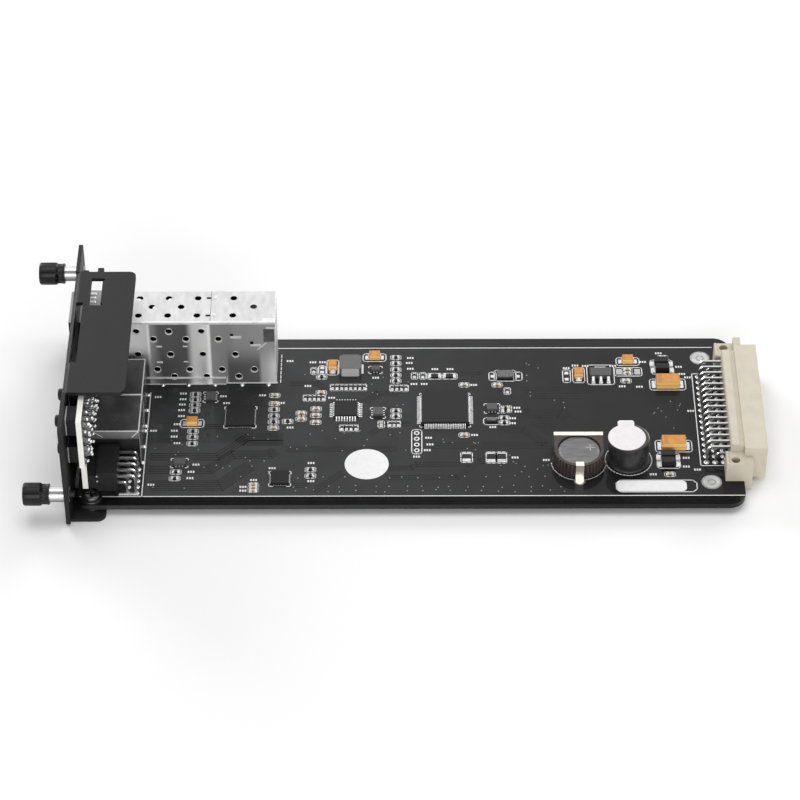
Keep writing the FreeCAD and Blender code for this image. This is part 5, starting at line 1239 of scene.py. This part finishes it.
# painted highlight: tabs, rail and folded edges in the bright fold finish
put("cage_tabs", listed([
    (23.6, 16.22, 14.7, 25.4, 16.42, 15.3), (31.7, 16.22, 14.8, 33.1, 16.42, 15.3),
    (23.5, 16.22, 8.4, 25.4, 16.42, 9.1), (31.7, 16.22, 8.8, 33.1, 16.42, 9.15),
    (46.0, 16.2, 18.2, 49.4, 16.42, 19.05), (51.9, 16.2, 15.1, 55.2, 16.42, 15.85),
    (56.8, 16.2, 21.9, 59.5, 16.42, 22.5), (59.3, 16.2, 0.6, 59.6, 16.5, 22.0),
    (20.0, 16.0, 2.35, 44.5, 16.42, 2.9), (44.2, 16.0, 0.5, 44.7, 16.42, 2.9),
    (44.2, 16.15, 0.3, 59.8, 16.42, 0.62), (19.9, 16.0, 0.02, 44.2, 16.42, 0.2),
    (55.8, 16.1, 24.35, 59.4, 18.2, 24.62), (2.0, 16.12, 23.75, 59.5, 16.95, 24.57),
    (59.35, 16.4, 24.2, 59.62, 30.7, 24.56), (40.9, 27.3, 24.5, 41.8, 28.6, 24.72),
    (40.9, 19.2, 24.5, 41.8, 20.5, 24.72),
], 0.05), "fold", "mirror_steel")
# painted shade: dark plates stand for the shade inside the slots
put("cage_slots", listed([
    (46.0, 16.3, 19.1, 47.0, 16.41, 19.9), (51.9, 16.3, 15.9, 52.9, 16.41, 16.9),
    (38.8, 27.2, 24.4, 40.1, 28.0, 24.54), (38.8, 19.1, 24.4, 40.1, 19.9, 24.54),
], 0.03), "painted_gap_shade", "mirror_steel")
# painted shade: a dark plate stands for the shade in the notch
put("cage_notch", listed([(56.0, 16.32, 16.8, 59.3, 16.41, 21.8)], 0.03), "shade_steel", "mirror_steel")
lance = prism([(13.5, 54.0), (13.8, 53.8), (16.6, 56.6), (16.2, 56.9)], 16.2, 16.45, "y")
put("cage_lance", lance, "fold", "mirror_steel", smooth=0)
seam = strips([(40.2, 16.5, 40.2, 30.6)], 0.14, 0.03, CAGE_TOP)
put("cage_seam", seam, "ferrite", "mirror_steel", smooth=0)
# painted shade: a dark plate stands for the shade between the spring fingers
put("finger_gaps", listed([(3.0, 24.4, 24.5, 6.2, 30.5, 24.53)], 0.005), "painted_gap_shade", "mirror_steel")
fingers = np.array([(3.2, y, 24.53) for y in (25.0, 26.9, 28.8)])
put("spring_fingers", bricks(fingers, fingers + [2.4, 1.2, 0.45], 0.2), "fold", "mirror_steel")
tails = [(x, 16.0, 0.0) for x in (25.0, 32.8, 40.8, 49.0, 57.0)]
tails = turned([(0.0, 0.75), (0.12, 0.7), (0.5, 0.35), (0.6, 0.02)], tails, "z", 14)
put("cage_tails", tails, "tin", "mirror_steel", smooth=50)

# %% [markdown]
# ## Behind the panel
# The keypad board stands upright behind the panel. Its switches and display are soldered from the panel's side,
# so its back is covered with joints, each a small cone of solder round a clipped leg. The cones wear a darker
# copy of the tin as painted shade, so that the bright leg tips stand out against them. No two are alike, so a
# scatter moves each one and changes its length. The socket under it shows two bright dots on its near side, and
# a strip of solder ties its near end to the board.

# %% solder on the keypad board and the socket's details
BACK = 6.2
where = np.stack(np.meshgrid(np.arange(-34.6, 14.6, 2.9), np.arange(15.2, 31.4, 2.8)), -1).reshape(-1, 2)
where = where + scatter.uniform(-0.6, 0.6, where.shape)
where = where[(where[:, 0] > -35.3) & (where[:, 0] < 14.5)]
size = scatter.uniform(0.5, 1.7, len(where))
cone = [(0.0, 0.9), (0.2, 0.8), (0.7, 0.5), (1.3, 0.34), (1.5, 0.02)]
points, faces = turned(cone, np.column_stack([0 * size, where]), "x", 8)
points = points.reshape(len(where), -1, 3)
points[..., 0] = BACK + points[..., 0] * size[:, None]
# painted shade: the solder cones are darker than the tin of their tips
put("keypad_joints", (points, faces), "shaded_joint_tin", "bright_steel", smooth=50)
tips = np.column_stack([BACK + 1.35 * size, where])
tip = turned([(-0.5, 0.25), (-0.25, 0.5), (0.15, 0.52), (0.4, 0.34), (0.5, 0.02)], tips, "x", 8)
tinned("clipped_legs", tip, smooth=60)
leg_y, leg_z = (-33.6, -29.4, -22.3, -18.1), (30.6, 26.0, 20.1, 15.5)
legs = np.array([(3.4, y - 0.35, z - 0.2) for z in leg_z for y in leg_y])
tinned("switch_legs", bricks(legs, legs + [1.2, 0.7, 0.4], 0.05))
dots = [(8.9, -33.0, 7.8), (8.9, -33.0, 5.9)]
tinned("socket_dots", turned([(-0.06, 0.02), (-0.06, 0.28), (0.02, 0.3)], dots, "y", 12))
tinned("socket_strip", listed([(14.8, -33.1, 0.0, 20.7, -32.3, 0.8)], 0.12))

# %% [markdown]
# ## Floor, light and camera
# The card lies on a plain pale table. A single large face is enough, because the card's shadow is all that
# it shows.

# %% floor
floor_mesh = bpy.data.meshes.new("floor")
floor_mesh.from_pydata([(-3, -3, 0), (3, -3, 0), (3, 3, 0), (-3, 3, 0)], [], [(0, 1, 2, 3)])
floor_mesh.materials.append(finish("floor", 0.905, 0.925, 0.75, shine=0.2, size=3, bump=0.0))
floor = bpy.data.objects.new("floor", floor_mesh)
scene.collection.objects.link(floor)

# %% [markdown]
# The light is broad and soft: one lamp hangs above, two behind draw highlights along edges, and one fills
# the front. The sky is white to the camera and to anything that mirrors it, and dimmer for plain light, so
# that colours come out as written. An image of a studio could light the card too, but it would have to be
# read from disk.

# %% sky and lamps
PLAIN_LIGHT = 0.38
world = bpy.data.worlds.new("studio")
world.use_nodes = True
scene.world = world
sky = world.node_tree
rays = add(sky, "ShaderNodeLightPath").outputs
seen = computed(sky, "Math", "MAXIMUM", rays["Is Camera Ray"], rays["Is Glossy Ray"])
bright = computed(sky, "Math", "MAXIMUM", seen, rays["Is Transmission Ray"])
level = ranged(sky, bright, {"To Min": PLAIN_LIGHT, "To Max": 1.0})
fill(sky.nodes["Background"], {"Color": colour(1.0), "Strength": level})


def softbox(name, place, target, width, height, power):
    """A rectangular lamp at one place, turned to look at another."""
    lamp = bpy.data.lights.new(name, "AREA")
    lamp.shape = "RECTANGLE"
    lamp.size, lamp.size_y, lamp.energy = width, height, power
    made = bpy.data.objects.new(name, lamp)
    scene.collection.objects.link(made)
    look = (Vector(target) - Vector(place)).to_track_quat("-Z", "Y")
    made.matrix_world = Matrix.Translation(place) @ look.to_matrix().to_4x4()
    print(f"{name}: {power} watts")


softbox("overhead", (0.0, 0.22, 1.1), (0.0, 0.0, 0.0), 1.0, 0.6, 5.8)
softbox("back_left", (-0.8, 1.1, 0.5), (0.0, 0.0, 0.0), 0.7, 0.4, 7.0)
softbox("back_right", (0.8, 1.1, 0.5), (0.0, 0.0, 0.0), 0.7, 0.4, 7.0)
softbox("front_fill", (0.1, -1.25, 0.45), (0.0, 0.0, 0.02), 1.2, 0.5, 8.5)

# %% [markdown]
# The camera stands before the near long side and looks down by about 42 degrees. A long lens keeps the
# board's edges almost parallel. A Track To constraint could aim it, but worked-out axes also hold the small
# roll.

# %% camera
STAND = (0.00444, -0.71734, 0.65102)
TILT = math.radians(41.727)
YAW = Matrix.Rotation(math.radians(0.2915), 3, "Z")
ROLL = math.radians(-0.328)
forward = YAW @ Vector((0, math.cos(TILT), -math.sin(TILT)))
right = YAW @ Vector((1, 0, 0))
up = YAW @ Vector((0, math.sin(TILT), math.cos(TILT)))
rolled_right = math.cos(ROLL) * right + math.sin(ROLL) * up
rolled_up = math.cos(ROLL) * up - math.sin(ROLL) * right
lens = bpy.data.cameras.new("camera")
lens.sensor_width = 36.0
lens.lens = 145.34
lens.clip_start = 0.01
camera = bpy.data.objects.new("camera", lens)
scene.collection.objects.link(camera)
turn = Matrix((rolled_right, rolled_up, -forward)).transposed().to_4x4()
camera.matrix_world = Matrix.Translation(STAND) @ turn
scene.camera = camera
scene.view_settings.view_transform = "Standard"
print("camera at", STAND)
